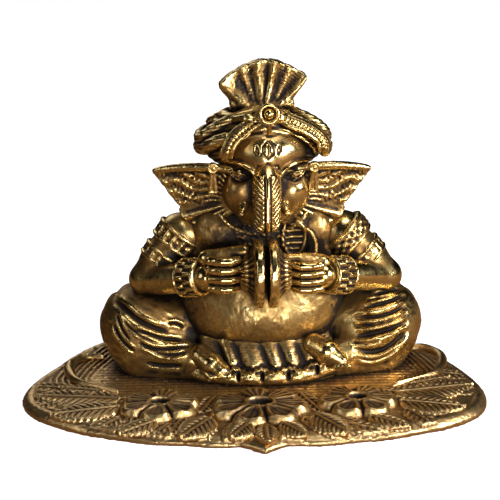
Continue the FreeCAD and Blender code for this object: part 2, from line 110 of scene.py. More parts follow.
def ellipsoid(centre, radii, turn=None):
    """turn holds three unit vectors, the ellipsoid's own axes."""
    c, r = np.asarray(centre, float), np.asarray(radii, float)
    reach = r if turn is None else np.full(3, r.max())

    def field(x, y, z):
        p = (x - c[0], y - c[1], z - c[2])
        if turn is not None:
            p = [p[0] * a[0] + p[1] * a[1] + p[2] * a[2] for a in turn]
        near = np.sqrt((p[0] / r[0]) ** 2 + (p[1] / r[1]) ** 2 + (p[2] / r[2]) ** 2)
        steep = np.sqrt((p[0] / r[0] ** 2) ** 2 + (p[1] / r[1] ** 2) ** 2 + (p[2] / r[2] ** 2) ** 2)
        return near * (near - 1) / np.maximum(steep, 1e-6)

    return Shape(c - reach, c + reach, field)


def tilted(degrees):
    """Three unit vectors turned about the Y axis, for ellipsoid()."""
    s, c = math.sin(math.radians(degrees)), math.cos(math.radians(degrees))
    return [(c, 0, -s), (0, 1, 0), (s, 0, c)]


def limb_distance(x, y, z, a, b, radius_a, radius_b, normal, flatness):
    run = b - a
    length = max(float(run @ run), 1e-9)
    px, py, pz = x - a[0], y - a[1], z - a[2]
    share = np.clip((px * run[0] + py * run[1] + pz * run[2]) / length, 0, 1)
    px, py, pz = px - share * run[0], py - share * run[1], pz - share * run[2]
    if normal is not None:
        out = (px * normal[0] + py * normal[1] + pz * normal[2]) * (flatness - 1)
        px, py, pz = px + out * normal[0], py + out * normal[1], pz + out * normal[2]
    return np.sqrt(px * px + py * py + pz * pz) - (radius_a + (radius_b - radius_a) * share)


def stroke(points, radii, normals=None, flatness=1.0):
    """A round rod through points. With normals, it is flatter along them by flatness."""
    points = np.asarray(points, float).reshape(-1, 3)
    radii = np.broadcast_to(np.asarray(radii, float), len(points))
    if normals is not None:
        normals = np.broadcast_to(np.asarray(normals, float), points.shape)
    most = radii.max()

    def field(x, y, z):
        out = np.full(np.broadcast_shapes(x.shape, y.shape, z.shape), FAR, np.float32)
        for i in range(max(len(points) - 1, 1)):
            j = min(i + 1, len(points) - 1)
            grown = max(radii[i], radii[j]) + REACH
            low = np.minimum(points[i], points[j]) - grown
            high = np.maximum(points[i], points[j]) + grown
            part = tuple(slice(*np.searchsorted(v.ravel(), (l, h))) for v, l, h in zip((x, y, z), low, high))
            if any(s.stop <= s.start for s in part):
                continue
            normal = None if normals is None else normals[i]
            found = limb_distance(x[part[0]], y[:, part[1]], z[:, :, part[2]],
                                  points[i], points[j], radii[i], radii[j], normal, flatness)
            out[part] = np.minimum(out[part], found)
        return out

    return Shape(points.min(0) - most, points.max(0) + most, field)


def beads(points, radii):
    """Separate balls at points."""
    points = np.asarray(points, float).reshape(-1, 3)
    radii = np.broadcast_to(np.asarray(radii, float), len(points))
    doubled = np.repeat(points, 2, 0)
    pairs = stroke(doubled, np.repeat(radii, 2))

    def field(x, y, z):
        out = np.full(np.broadcast_shapes(x.shape, y.shape, z.shape), FAR, np.float32)
        for centre, radius in zip(points, radii):
            grown = radius + REACH
            part = tuple(slice(*np.searchsorted(v.ravel(), (c - grown, c + grown)))
                         for v, c in zip((x, y, z), centre))
            if any(s.stop <= s.start for s in part):
                continue
            found = limb_distance(x[part[0]], y[:, part[1]], z[:, :, part[2]],
                                  centre, centre, radius, radius, None, 1)
            out[part] = np.minimum(out[part], found)
        return out

    return Shape(pairs.low, pairs.high, field)


def block(centre, half, rounding):
    c, h = np.asarray(centre, float), np.asarray(half, float)

    def field(x, y, z):
        q = [np.abs(v - c[i]) - h[i] + rounding for i, v in enumerate((x, y, z))]
        outside = np.sqrt(sum(np.maximum(v, 0) ** 2 for v in q))
        inside = np.minimum(np.maximum(np.maximum(q[0], q[1]), q[2]), 0)
        return outside + inside - rounding

    return Shape(c - h, c + h, field)


def above(height):
    """Everything over a level, for keep()."""
    wide = np.full(3, 1000.0)
    return Shape(-wide, wide, lambda x, y, z: height - z + 0 * x + 0 * y)


def curve(points, steps=12):
    """A smooth run of points through the given ones (Catmull-Rom)."""
    p = np.asarray(points, float)
    p = np.vstack([2 * p[0] - p[1], p, 2 * p[-1] - p[-2]])
    out = []
    for i in range(1, len(p) - 2):
        for t in np.arange(steps) / steps:
            a = 2 * p[i] + (p[i + 1] - p[i - 1]) * t
            b = (2 * p[i - 1] - 5 * p[i] + 4 * p[i + 1] - p[i + 2]) * t ** 2
            c = (3 * p[i] - p[i - 1] - 3 * p[i + 1] + p[i + 2]) * t ** 3
            out.append((a + b + c) / 2)
    out.append(p[-2])
    return np.array(out)


def evenly(points, spacing):
    """Points along a run, this far apart."""
    points = np.asarray(points, float)
    length = np.concatenate([[0], np.cumsum(np.linalg.norm(np.diff(points, axis=0), axis=1))])
    places = np.arange(spacing / 2, length[-1], spacing)
    return np.stack([np.interp(places, length, points[:, i]) for i in range(points.shape[1])], 1)


# --- Surface patterns --------------------------------------------------------------------------

def hump(away, width):
    """A smooth bump, 1 in its middle and nearly 0 two widths away."""
    return np.exp(-((away / width) ** 2))


def step_up(value, start, end):
    """0 before start, 1 after end, smooth between."""
    t = np.clip((value - start) / (end - start), 0, 1)
    return t * t * (3 - 2 * t)


def groove(phase, width):
    """1 on each whole number of phase, falling to 0 within width of it."""
    away = np.abs(phase - np.round(phase))
    return hump(away, width)


def ripple(x, y, z, size, seed):
    """A smooth random pattern between about -1 and 1, with lumps of this size."""
    draw = np.random.default_rng(seed)
    total = 0.0
    for _ in range(7):
        way = draw.normal(size=3)
        way *= TWO_PI / size * draw.uniform(0.6, 1.3) / np.linalg.norm(way)
        total = total + np.sin(x * way[0] + y * way[1] + z * way[2] + draw.uniform(0, TWO_PI))
    return total / 2.6


def hammered(depth, size, seed):
    """Relief like a hammered surface."""
    def height(x, y, z):
        return depth * (ripple(x, y, z, size, seed) * ripple(x, y, z, 1.7 * size, seed + 1))
    return height


def from_line(points, x, h):
    """How far drawn places (x, h) are from a drawn line, and how far along it they lie, 0 to 1."""
    best = np.full(np.broadcast_shapes(x.shape, h.shape), 1e9)
    along = np.zeros(best.shape)
    for i, (a, b) in enumerate(zip(points[:-1], points[1:])):
        run = b - a
        share = np.clip(((x - a[0]) * run[0] + (h - a[1]) * run[1]) / max(float(run @ run), 1e-9), 0, 1)
        away = (x - a[0] - share * run[0]) ** 2 + (h - a[1] - share * run[1]) ** 2
        closer = away < best
        best = np.where(closer, away, best)
        along = np.where(closer, (i + share) / (len(points) - 1), along)
    return np.sqrt(best), along


def drawn_height(y, z):
    """Height as it looks from 20 degrees above, measured from the ground under the figure's middle."""
    return LIFT * (z - GROUND_Z) + LEAN * y


def creases(side, folds):
    """Relief of folds drawn on the front. A fold is (points, depth, width, bank): a groove and the soft
    bank along both its sides. A point is its distance from the figure's middle and its drawn height."""
    drawn = [(curve(points, 5), depth, width, bank) for points, depth, width, bank in folds]

    def height(x, y, z):
        out, up = side * (x - AXIS_X), drawn_height(y, z)
        total = np.zeros(x.shape)
        for points, depth, width, bank in drawn:
            low, high = points.min(0) - 4 * width, points.max(0) + 4 * width
            near = (out > low[0]) & (out < high[0]) & (up > low[1]) & (up < high[1])
            away, along = from_line(points, out[near], up[near])
            taper = np.clip(5 * along, 0, 1) * np.clip(5 * (1 - along), 0, 1)
            banks = bank * hump(away - 2.1 * width, 1.1 * width)
            total[near] += taper * (banks - depth * hump(away, width))
        return total

    return height


# --- Clay: a block of distances -----------------------------------------------------------------

def smooth_min(a, b, blend):
    if blend <= 0:
        return np.minimum(a, b)
    near = np.maximum(blend - np.abs(a - b), 0)
    return np.minimum(a, b) - near * near / (4 * blend)


def box_blur(values, reach):
    """A mean over a cube of 2 * reach + 1 voxels, twice."""
    for _ in range(2):
        for axis in range(3):
            pad = [(0, 0)] * 3
            pad[axis] = (reach + 1, reach)
            total = np.cumsum(np.pad(values, pad, mode="edge"), axis, dtype=np.float64)
            ahead = [slice(None)] * 3
            behind = [slice(None)] * 3
            ahead[axis] = slice(2 * reach + 1, None)
            behind[axis] = slice(0, -(2 * reach + 1))
            values = ((total[tuple(ahead)] - total[tuple(behind)]) / (2 * reach + 1)).astype(np.float32)
    return values


def sample(values, low, step, points):
    """Values of a grid at points, by straight-line mixing of the eight voxels round each."""
    at = (points - low) / step
    first = np.clip(np.floor(at).astype(int), 0, np.array(values.shape) - 2)
    part = np.clip(at - first, 0, 1)
    out = 0.0
    for corner in range(8):
        bit = np.array([corner & 1, corner >> 1 & 1, corner >> 2 & 1])
        weight = np.prod(np.where(bit, part, 1 - part), 1)
        where = first + bit
        out = out + weight * values[where[:, 0], where[:, 1], where[:, 2]]
    return out


class Clay:
    """A block of signed distances that one piece is sculpted in: negative is inside.

    turn and shift place the block: a point p of the block stands at turn @ p + shift.
    """

    def __init__(self, low, high, step, turn=None, shift=None):
        self.step = step
        self.low = np.floor(np.asarray(low, float) / step - 4) * step
        count = np.ceil((np.asarray(high, float) - self.low) / step).astype(int) + 5
        self.d = np.full(count, FAR, np.float32)
        self.turn = np.eye(3) if turn is None else np.asarray(turn, float)
        self.shift = np.zeros(3) if shift is None else np.asarray(shift, float)

    def window(self, low, high, margin):
        count = np.array(self.d.shape)
        first = np.clip(np.floor((low - margin - self.low) / self.step).astype(int), 0, count)
        last = np.clip(np.ceil((high + margin - self.low) / self.step).astype(int) + 1, 0, count)
        last = np.maximum(last, first)
        axes = []
        for i in range(3):
            run = (self.low[i] + self.step * np.arange(first[i], last[i])).astype(np.float32)
            axes.append(run.reshape([-1 if j == i else 1 for j in range(3)]))
        return tuple(slice(a, b) for a, b in zip(first, last)), axes

    def add(self, shape, blend=0.0):
        part, axes = self.window(shape.low, shape.high, blend + REACH)
        self.d[part] = smooth_min(self.d[part], shape.field(*axes), blend)
        return self

    def cut(self, shape, blend=0.0):
        part, axes = self.window(shape.low, shape.high, blend + REACH)
        self.d[part] = -smooth_min(-self.d[part], shape.field(*axes), blend)
        return self

    def keep(self, shape, blend=0.0):
        part, axes = self.window(self.low, self.low + self.step * np.array(self.d.shape), 0)
        self.d[part] = -smooth_min(-self.d[part], -shape.field(*axes), blend)
        return self

    def relief(self, height, low=None, high=None, facing=None):
        """Raises the surface by height(x, y, z) millimetres. facing = (way, start, full) limits it
        to where the surface looks that way, by the cosine of the angle."""
        whole = self.low + self.step * np.array(self.d.shape)
        low = self.low if low is None else np.asarray(low, float)
        high = whole if high is None else np.asarray(high, float)
        part, axes = self.window(low, high, 0)
        view = self.d[part]
        near = np.nonzero(np.abs(view) < 1.8)
        if not len(near[0]):
            return self
        place = [axes[i].ravel()[near[i]] for i in range(3)]
        rise = height(*place)
        if facing is not None:
            way, start, full = facing
            slope = [g[near] for g in np.gradient(view)]
            size = np.sqrt(sum(s * s for s in slope)) + 1e-6
            cosine = sum(s * w for s, w in zip(slope, way)) / size / np.linalg.norm(way)
            rise = rise * step_up(cosine, start, full)
        view[near] -= rise
        return self


# --- Meshing ------------------------------------------------------------------------------------

made = {}
COARSE_STEP = 1.0
coarse_low = np.array(CAD_BOX[0]) / MM - 12
coarse_count = np.ceil((np.array(CAD_BOX[1]) / MM + 12 - coarse_low) / COARSE_STEP).astype(int)
filled = np.zeros(coarse_count, bool)


def stamp(clay):
    """Marks the coarse cells that a piece fills, so that shade can gather between pieces."""
    size = clay.step * (np.array(clay.d.shape) - 1)
    corners = np.array([[i & 1, i >> 1 & 1, i >> 2 & 1] for i in range(8)]) * size + clay.low
    corners = corners @ clay.turn.T + clay.shift
    first = np.clip(np.floor((corners.min(0) - coarse_low) / COARSE_STEP).astype(int), 0, coarse_count)
    last = np.clip(np.ceil((corners.max(0) - coarse_low) / COARSE_STEP).astype(int) + 1, 0, coarse_count)
    cells = np.stack(np.meshgrid(*[np.arange(a, b) for a, b in zip(first, last)], indexing="ij"), -1)
    places = (cells.reshape(-1, 3) * COARSE_STEP + coarse_low - clay.shift) @ np.linalg.inv(clay.turn).T
    where = np.round((places - clay.low) / clay.step).astype(int)
    inside = np.all((where >= 0) & (where < clay.d.shape), 1)
    cells = cells.reshape(-1, 3)[inside]
    where = where[inside]
    full = clay.d[where[:, 0], where[:, 1], where[:, 2]] < 0
    cells = cells[full]
    filled[cells[:, 0], cells[:, 1], cells[:, 2]] = True


def drop_crumbs(points, faces, least):
    """Leaves out connected parts with fewer than this many points."""
    label = np.arange(len(points))
    while True:
        lowest = label[faces].min(1)
        new = label.copy()
        np.minimum.at(new, faces.ravel(), np.repeat(lowest, faces.shape[1]))
        new = new[new]
        if np.array_equal(new, label):
            break
        label = new
    size = np.bincount(label, minlength=len(points))
    keep = size[label] >= least
    renumber = np.cumsum(keep) - 1
    return points[keep], renumber[faces[keep[faces[:, 0]]]]


def signed_volume(points, faces):
    a, b, c, d = (points[faces[:, i]] for i in range(4))
    return float(np.sum(np.cross(b - a, c - a) * a) + np.sum(np.cross(c - a, d - a) * a)) / 6


def make_piece(name, clay, nodes, slot, least=80):
    """Meshes a clay as a piece that stands for CAD nodes."""
    grid = openvdb.FloatGrid(FAR)
    grid.copyFromArray(clay.d)
    grid.transform = openvdb.createLinearTransform(clay.step)
    points, faces = grid.convertToQuads(0.0)
    points = points.astype(float) + clay.low
    points, faces = drop_crumbs(points, faces.astype(np.int64), least)
    soft = np.clip(clay.d, -1.5, 1.5)
    fine_reach = max(int(round(0.7 / clay.step)), 1)
    wide_reach = max(int(round(1.9 / clay.step)), 2)
    ridge = sample(box_blur(soft, fine_reach), clay.low, clay.step, points)
    swell = sample(box_blur(soft, wide_reach), clay.low, clay.step, points)
    stamp(clay)
    points = points @ clay.turn.T + clay.shift
    if signed_volume(points, faces) < 0:
        faces = faces[:, ::-1]
    mesh = bpy.data.meshes.new(name)
    mesh.vertices.add(len(points))
    mesh.vertices.foreach_set("co", (points * MM).astype(np.float32).ravel())
    mesh.loops.add(4 * len(faces))
    mesh.loops.foreach_set("vertex_index", faces.astype(np.int32).ravel())
    mesh.polygons.add(len(faces))
    mesh.polygons.foreach_set("loop_start", np.arange(0, 4 * len(faces), 4, dtype=np.int32))
    mesh.update(calc_edges=True)
    mesh.polygons.foreach_set("use_smooth", np.ones(len(faces), bool))
    for title, values in (("ridge", ridge / 0.16), ("swell", swell / 0.45)):
        layer = mesh.attributes.new(title, "FLOAT", "POINT")
        layer.data.foreach_set("value", np.clip(values, -1, 1).astype(np.float32))
    piece = bpy.data.objects.new(name, mesh)
    bpy.context.scene.collection.objects.link(piece)
    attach(piece, "root")
    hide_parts(*nodes)
    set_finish(piece, slot)
    made[name] = piece
    return piece


# The middle of the face, and how much darker (or, below 0, brighter) whole pieces are painted than the rest:
# partly tarnish, partly painted light and shade, such as the right leg and right arm painted brighter as if
# lit from the right and the left arm painted darker as if in shade.
FACE_X = 6.0
EVEN_TARNISH_AND_PAINTED_LIGHT = {
    "head_cast": 0.02, "left_ear_cast": 0.06, "right_ear_cast": 0.1,
    "left_tusk_cast": 0.25, "right_tusk_cast": 0.15, "necklace_beads": 0.5,
    "turban_wrap_cloth": 0.08, "turban_top_cloth": 0.1, "turban_band_cord": 0.12, "crest_fan_cloth": 0.06,
    "left_arm_cast": 0.1, "right_arm_cast": -0.2, "left_hand_cast": 0.16, "right_hand_cast": 0.1,
    "left_bracelet_cast": 0.15, "right_bracelet_cast": 0.12,
    "left_cymbal_cast": 0.24, "right_cymbal_cast": 0.24,
    "left_leg_cloth": -0.06, "right_leg_cloth": -0.44, "dhoti_pleats_cloth": 0.15, "left_foot_cast": 0.12,
}


def tarnish_and_painted_light(name, points):
    """How much darker (or, below 0, brighter) a piece is painted than its shape alone would make it: partly
    tarnish, partly painted light and shade.
    """
    x, y, z = points.T
    even = EVEN_TARNISH_AND_PAINTED_LIGHT.get(name, 0.0)
    if name == "torso_cast":
        # Torso: darker over the chest, painted shade on the flanks under the arms and low down where the legs
        # and pleats meet it, brighter over the belly.
        away = np.abs(x - AXIS_X)
        chest = 0.32 * step_up(z, 50, 60) * (1 - step_up(away, 16, 26)) * (1 - step_up(y, 6, 14))
        belly = step_up(z, 19, 27) * (1 - step_up(z, 40, 50)) * (1 - step_up(away, 20, 30))
        flank = step_up(away, 22, 30) * (1 - step_up(z, 46, 52)) * (1 - step_up(y, 14, 20))
        return chest + 0.25 * flank - 0.3 * belly * (1 - step_up(y, 8, 16)) + 0.2 * (1 - step_up(z, 17, 24))
    if name == "head_cast":
        # Head: painted shade round the eye sockets under the brow and on the lower left cheek, and painted
        # light over the top of the brow.
        away = np.abs(x - FACE_X)
        socket = step_up(away, 4, 7) * (1 - step_up(away, 16, 19))
        socket = socket * step_up(z, 84, 88) * (1 - step_up(z, 93, 95))
        cheek = (1 - step_up(x, -9, 3)) * (1 - step_up(z, 76, 90))
        return even + 0.3 * cheek + 0.4 * socket * (1 - step_up(y, 12, 18)) - 0.15 * step_up(z, 95, 98)
    if name == "dhoti_pleats_cloth":
        # Pleats: brighter towards the bottom, over the hem.
        return even - 0.15 * (1 - step_up(z, 8, 11))
    return even


def shade_recesses():
    """Stores in each piece how closely other metal stands round every point, 0 open to 1 enclosed, plus the
    per-piece tarnish and painted light; the brass paints it dark, as painted shade in the hollows and between
    pieces.
    """
    solid = filled.astype(np.float32)
    near, wide = box_blur(solid, 2), box_blur(solid, 5)
    for piece in made.values():
        mesh = piece.data
        count = len(mesh.vertices)
        points = np.empty(count * 3, np.float32)
        normals = np.empty(count * 3, np.float32)
        mesh.vertices.foreach_get("co", points)
        mesh.vertex_normals.foreach_get("vector", normals)
        points = points.reshape(-1, 3) / MM
        normals = normals.reshape(-1, 3)
        close = sample(near, coarse_low, COARSE_STEP, points + 2.2 * normals)
        broad = sample(wide, coarse_low, COARSE_STEP, points + 5.5 * normals)
        # Painted shade: the more closely other metal stands round a point, the darker the brass is painted
        # there.
        enclosed = np.clip(1.5 * (close - 0.08), 0, 1) * 0.5 + np.clip(1.9 * (broad - 0.05), 0, 1) * 0.6
        enclosed = np.clip(enclosed, 0, 1) + tarnish_and_painted_light(piece.name, points)
        layer = mesh.attributes.new("painted_shade_and_tarnish", "FLOAT", "POINT")
        layer.data.foreach_set("value", enclosed.astype(np.float32))


# --- Figure: body -------------------------------------------------------------------------------

def torso():
    """Belly, chest and shoulders, rubbed smooth in front and pitted between the arms."""
    box = Box("torso")
    c = box.centre
    clay = Clay(box.low, box.high, BROAD)
    clay.add(ellipsoid(c + (0, 0, -10.5), (35.8, 19.8, 27.5)))
    clay.add(ellipsoid(c + (0, -2.8, -13.0), (29.5, 18.4, 15.5)), 3)
    clay.add(ellipsoid(c + (0, 2, 18.5), (30.0, 14.5, 18.4)), 5)
    for side in (-1, 1):
        clay.add(ellipsoid(c + (side * 20.5, -4.0, 23.5), (8.0, 5.5, 8.5)), 5)
        clay.add(ellipsoid(c + (side * 27.0, 1.0, 9.0), (8.0, 9.0, 15.0)), 4)
        clay.add(ellipsoid(c + (side * 11.0, 14.5, 22.0), (9.5, 4.5, 11)), 5)
    clay.cut(stroke([c + (0, 20.5, -14), c + (0, 20.0, 6), c + (0, 19.2, 24)], 2.0), 3)
    waist = np.array([c + (35.5 * math.cos(a), 20.4 * math.sin(a), -12 + 1.5 * math.cos(2 * a))
                      for a in np.linspace(0.25, math.pi - 0.25, 50)])
    clay.add(stroke(waist, 1.4), 0.8)
    clay.add(beads(evenly(waist - (0, -0.6, 3.0), 2.2), 1.0), 0.3)
    cord = [(14, -13.0, 29), (19, -12.6, 25), (21.5, -12.4, 19), (20.5, -13.5, 13), (17, -15.5, 9)]
    clay.add(stroke(curve([c + p for p in np.array(cord, float)]), 0.9), 0.9)
    cloth_level = c[2] - 14

    def cloth(x, y, z):
        """Gathered cloth under the waist cord, at the back only."""
        turn = np.arctan2(y - c[1], x - c[0])
        lines = np.cos(26 * turn + 0.12 * (z - c[2]))
        return 0.5 * lines * step_up(cloth_level - z, 0, 3) * step_up(y - c[1], -2, 4)

    def chest(x, y, z):
        """Fine pits over the chest, between the arms."""
        pits = ripple(x, y, z, 2.2, 12) * ripple(x, y, z, 3.1, 13)
        return 0.45 * pits * step_up(z - c[2], 4, 10) * step_up(13 - np.abs(x - c[0]), 0, 4)

    def pendant(x, y, z):
        """An oval of short bars on the right of the chest, in a raised edge."""
        across, up = (x - c[0] - 12.5) / 5.4, (z - c[2] - 22.5) / 9.0
        away = np.sqrt(across ** 2 + up ** 2)
        bars = np.cos(TWO_PI * (up * 9.0) / 2.6) * (1 - step_up(away, 0.6, 0.75))
        return 0.45 * bars + 0.6 * hump(away - 0.9, 0.14) + 0.4 * (1 - step_up(away, 0.9, 1.0))

    clay.relief(cloth)
    clay.relief(pendant, facing=((0, -1, 0.1), 0.0, 0.4))
    clay.relief(chest, facing=((0, -1, 0.1), 0.0, 0.4))
    clay.relief(hammered(0.14, 8.0, 11), facing=((0, -1, 0.1), -0.1, 0.4))
    clay.relief(hammered(0.05, 2.4, 14))
    return make_piece("torso_cast", clay.keep(above(GROUND_Z)), ["torso"], "antique_brass")


LEFT_FOLDS = [
    ([(62.2, 33.0), (57.4, 29.0), (52.2, 24.7), (45.3, 21.0), (39.5, 19.2)], 1.3, 1.3, 0.5),
    ([(54.5, 21.0), (47.6, 18.7), (41.8, 16.7), (33.8, 15.5)], 1.2, 0.75, 0.5),
    ([(52.2, 15.2), (46.4, 12.6), (38.4, 12.1), (30.3, 13.2)], 1.2, 0.75, 0.5),
    ([(47.6, 11.8), (41.8, 10.2), (36.1, 10.1), (31.2, 11.8)], 1.0, 0.7, 0.45),
    ([(62.5, 23.3), (60.5, 18.7), (57.4, 14.4), (53.3, 11.2)], 0.9, 0.7, 0.3),
    ([(61.1, 27.3), (59.1, 21.5), (55.6, 15.8)], 0.8, 0.6, 0.25),
    ([(58.0, 24.0), (52.5, 18.8), (46.0, 15.6)], 0.5, 0.5, 0.2),
    ([(40.1, 22.9), (36.1, 22.5), (33.2, 20.6)], 0.7, 0.6, 0.5),
    ([(49.9, 6.6), (41.8, 5.4), (33.8, 5.4)], 1.0, 0.9, 0.3),
]
RIGHT_FOLDS = [
    ([(46.3, 32.8), (53.8, 34.3), (59.0, 34.6)], 0.9, 0.8, 0.4),
    ([(40.9, 27.6), (49.2, 29.0), (56.1, 31.0), (61.5, 32.6)], 1.1, 0.8, 0.5),
    ([(43.0, 30.6), (50.0, 31.8), (57.0, 33.2)], 0.6, 0.5, 0.3),
    ([(38.4, 24.1), (46.9, 23.8), (54.4, 25.6), (60.7, 28.7)], 1.3, 0.95, 0.5),
    ([(37.5, 20.3), (46.0, 20.7), (55.0, 22.8), (61.0, 25.5)], 1.0, 0.75, 0.5),
    ([(37.7, 15.5), (46.3, 17.0), (54.4, 19.2), (61.0, 22.0)], 1.4, 1.1, 0.6),
    ([(36.7, 10.8), (44.6, 9.3), (50.9, 10.6), (56.5, 14.6), (60.7, 19.0)], 1.5, 1.5, 0.6),
    ([(36.0, 13.2), (42.5, 13.0), (48.5, 14.2)], 0.8, 0.6, 0.4),
    ([(37.1, 7.2), (45.2, 5.6), (52.0, 7.6), (58.0, 12.0)], 0.7, 0.7, 0.3),
]


def leg(name, side, folds, seed):
    """A knee under cloth: smooth over the thigh, with drawn folds that gather towards the ankle."""
    box = Box(name)
    clay = Clay(box.low - (0.5, 1, 0), box.high + (0.5, 0, 0), PLAIN)
    knee_z = box.high[2] - 18.3
    clay.add(ellipsoid(off_axis(side, 50.0, 17, knee_z), (19.3, 18.8, 18.2)))
    clay.add(stroke([off_axis(side, 22, 21, 22), off_axis(side, 47, 17.5, 21)], (13.0, 15.2)), 6)
    clay.add(stroke([off_axis(side, 52, 10, 15), off_axis(side, 30, 0.5, 12)], (12.0, 6.2)), 5)
    clay.add(stroke([off_axis(side, 50, 9, 7), off_axis(side, 31, 1.0, 6.5)], (9.5, 4.6)), 3.5)
    clay.relief(creases(side, folds), facing=((0, -1, 0.3), -0.35, 0.1))

    def behind(x, y, z):
        """Folds that run round the knee to the back."""
        turn = np.degrees(np.arctan2(z - knee_z + 6, side * (x - AXIS_X) - 34))
        phase = turn / 13 + 0.25 * np.sin(0.2 * y)
        return (0.4 * np.cos(TWO_PI * phase) - 0.5 * groove(phase + 0.5, 0.17)) * step_up(y, 15, 24)

    clay.relief(behind)
    clay.relief(hammered(0.07, 4.0, seed))
    return make_piece(name + "_cloth", clay.keep(above(GROUND_Z)), [name], "antique_brass")


def left_foot():
    """A smooth wedge of a foot pointing down and inwards, its toes resting on the hem."""
    box = Box("left_foot")
    clay = Clay(box.low - (3, 3, 2), box.high + (3, 0, 2), FINE)
    heel, middle, ball = box.at(-0.5, 0.3, 0.42), box.at(0.1, -0.25, 0.14), box.at(0.62, -0.66, -0.16)
    clay.add(stroke([heel, middle, ball], (5.4, 5.8, 4.4), (0.55, 0.0, 0.83), 1.2))
    for i in range(5):
        toe = box.at(1.08 - 0.27 * i, -1.15, -0.3 - 0.02 * i)
        clay.add(stroke([ball + (-1.6 * i, 0.6, -0.2), toe], (2.3, 1.6 - 0.1 * i)), 0.6)
    clay.relief(hammered(0.05, 3.2, 31))
    return make_piece("left_foot_cast", clay.keep(above(GROUND_Z)), ["left_foot"], "burnished_brass")


def right_foot():
    """The upper foot, a smooth oval laid over the other shin, narrowing down to the right."""
    box = Box("right_foot")
    clay = Clay(box.low - (3, 3, 2), box.high + (4, 0, 2), FINE)
    heel, middle, ball = box.at(-0.5, 0.3, 0.3), box.at(0.06, -0.15, -0.02), box.at(0.72, -0.55, -0.5)
    clay.add(stroke([heel, middle, ball], (5.0, 5.6, 3.2), (0, 1, 0), 1.1))
    crease = [box.at(1.1, -1.0, -0.85), box.at(0.5, -1.15, -0.75), box.at(-0.3, -1.0, -0.4)]
    clay.cut(stroke(curve(crease), 0.45), 0.6)
    for i in range(4):
        toe = box.at(0.98 - 0.17 * i, -0.98 + 0.06 * i, -0.6 - 0.06 * i)
        clay.add(ellipsoid(toe, (1.3, 1.2, 1.0)), 0.6)
    clay.relief(hammered(0.03, 3.2, 37))
    return make_piece("right_foot_cast", clay.keep(above(GROUND_Z)), ["right_foot"], "burnished_brass")


def pleats():
    """The gathered cloth in front: rounded folds that lean and widen downwards to a thick wavy hem."""
    box = Box("dhoti_pleats")
    middle_x, middle_y = box.centre[0], box.low[1] + 15.6
    seams = np.array((-34.0, -20.0, -10.3, -3.5, 7.6, 14.9, 22.5, 33.0, 44.0))
    hem_notches = (-18.0, -6.5, 3.4, 14.3, 26.6)
    clay = Clay(box.low - (0, 0.5, 1), box.high, PLAIN)
    levels = (GROUND_Z - 4, GROUND_Z, GROUND_Z + 5, GROUND_Z + 11, GROUND_Z + 17, GROUND_Z + 22)
    wide = (33.4, 33.8, 34.4, 31.0, 27.0, 24.0)
    deep = (14.0, 14.4, 14.4, 12.0, 9.6, 8.0)

    def body(x, y, z):
        a, b = np.interp(z, levels, wide), np.interp(z, levels, deep)
        back = np.interp(z, levels, (0, 0, 0.3, 1.5, 3.0, 4.0))
        k = np.sqrt(((x - middle_x) / a) ** 2 + ((y - middle_y - back) / b) ** 2)
        return (k - 1) * b * 0.95

    clay.add(Shape(box.low - 2, box.high + 2, lambda x, y, z: np.maximum(body(x, y, z), z - box.high[2])))
    hem = []
    for a in np.linspace(math.pi + 0.05, TWO_PI - 0.05, 120):
        x = middle_x + 33.0 * math.cos(a)
        wave = math.cos(TWO_PI * (x - 3.4) / 11.0)
        rise = 1.6 * float(step_up(x, 16, 34))
        hem.append((x, middle_y + (13.4 - 0.4 * wave) * math.sin(a), GROUND_Z + 2.8 + rise - 0.35 * wave))
    clay.add(stroke(hem, 2.9), 0.7)

    def folds(x, y, z):
        height = z - GROUND_Z
        lean = 4.8 * np.clip((height - 3) / 13, 0, 1)
        phase = np.interp(x + lean, seams, np.arange(len(seams)))
        saw = phase - np.floor(phase)
        upper = step_up(height, 5.6, 7.6)
        lump = np.power(np.sin(math.pi * saw) + 1e-6, 1.3)
        drape = 1.7 * (lump - 0.6) * upper * (1 - 0.65 * step_up(height, 11, 17))
        hatch = 0.06 * np.cos(TWO_PI * (height - 0.9 * lump) / 0.95) * upper
        rise = 1.6 * step_up(x, 16, 34)
        rim = height - 6.3 - rise - 0.5 * np.cos(TWO_PI * (x - 3.4) / 11.0) - 0.25 * np.sin(2.7 * x)
        lip = 0.6 * hump(rim, 0.5) - 0.5 * hump(rim - 1.2, 0.6)
        notch = np.zeros(x.shape)
        up = (height - 3.6 - rise) / 1.5
        for place in hem_notches:
            notch = np.maximum(notch, np.exp(-(((x - place) / 0.75) ** 2) - up**2))
        return drape + hatch + lip - 1.9 * notch

    clay.relief(folds, facing=((0, -1, 0.4), -0.2, 0.3))
    clay.relief(hammered(0.06, 2.6, 41))
    return make_piece("dhoti_pleats_cloth", clay.keep(above(GROUND_Z)), ["dhoti_pleats"], "antique_brass")


# --- Figure: arms, hands, cymbals -----------------------------------------------------------------

SHOULDER, WRIST = (34.0, 17.0, 61.0), (24.0, -6.0, 51.0)
ELBOWS = {-1: (48.8, 14.0, 43.0), 1: (52.3, 14.0, 43.0)}


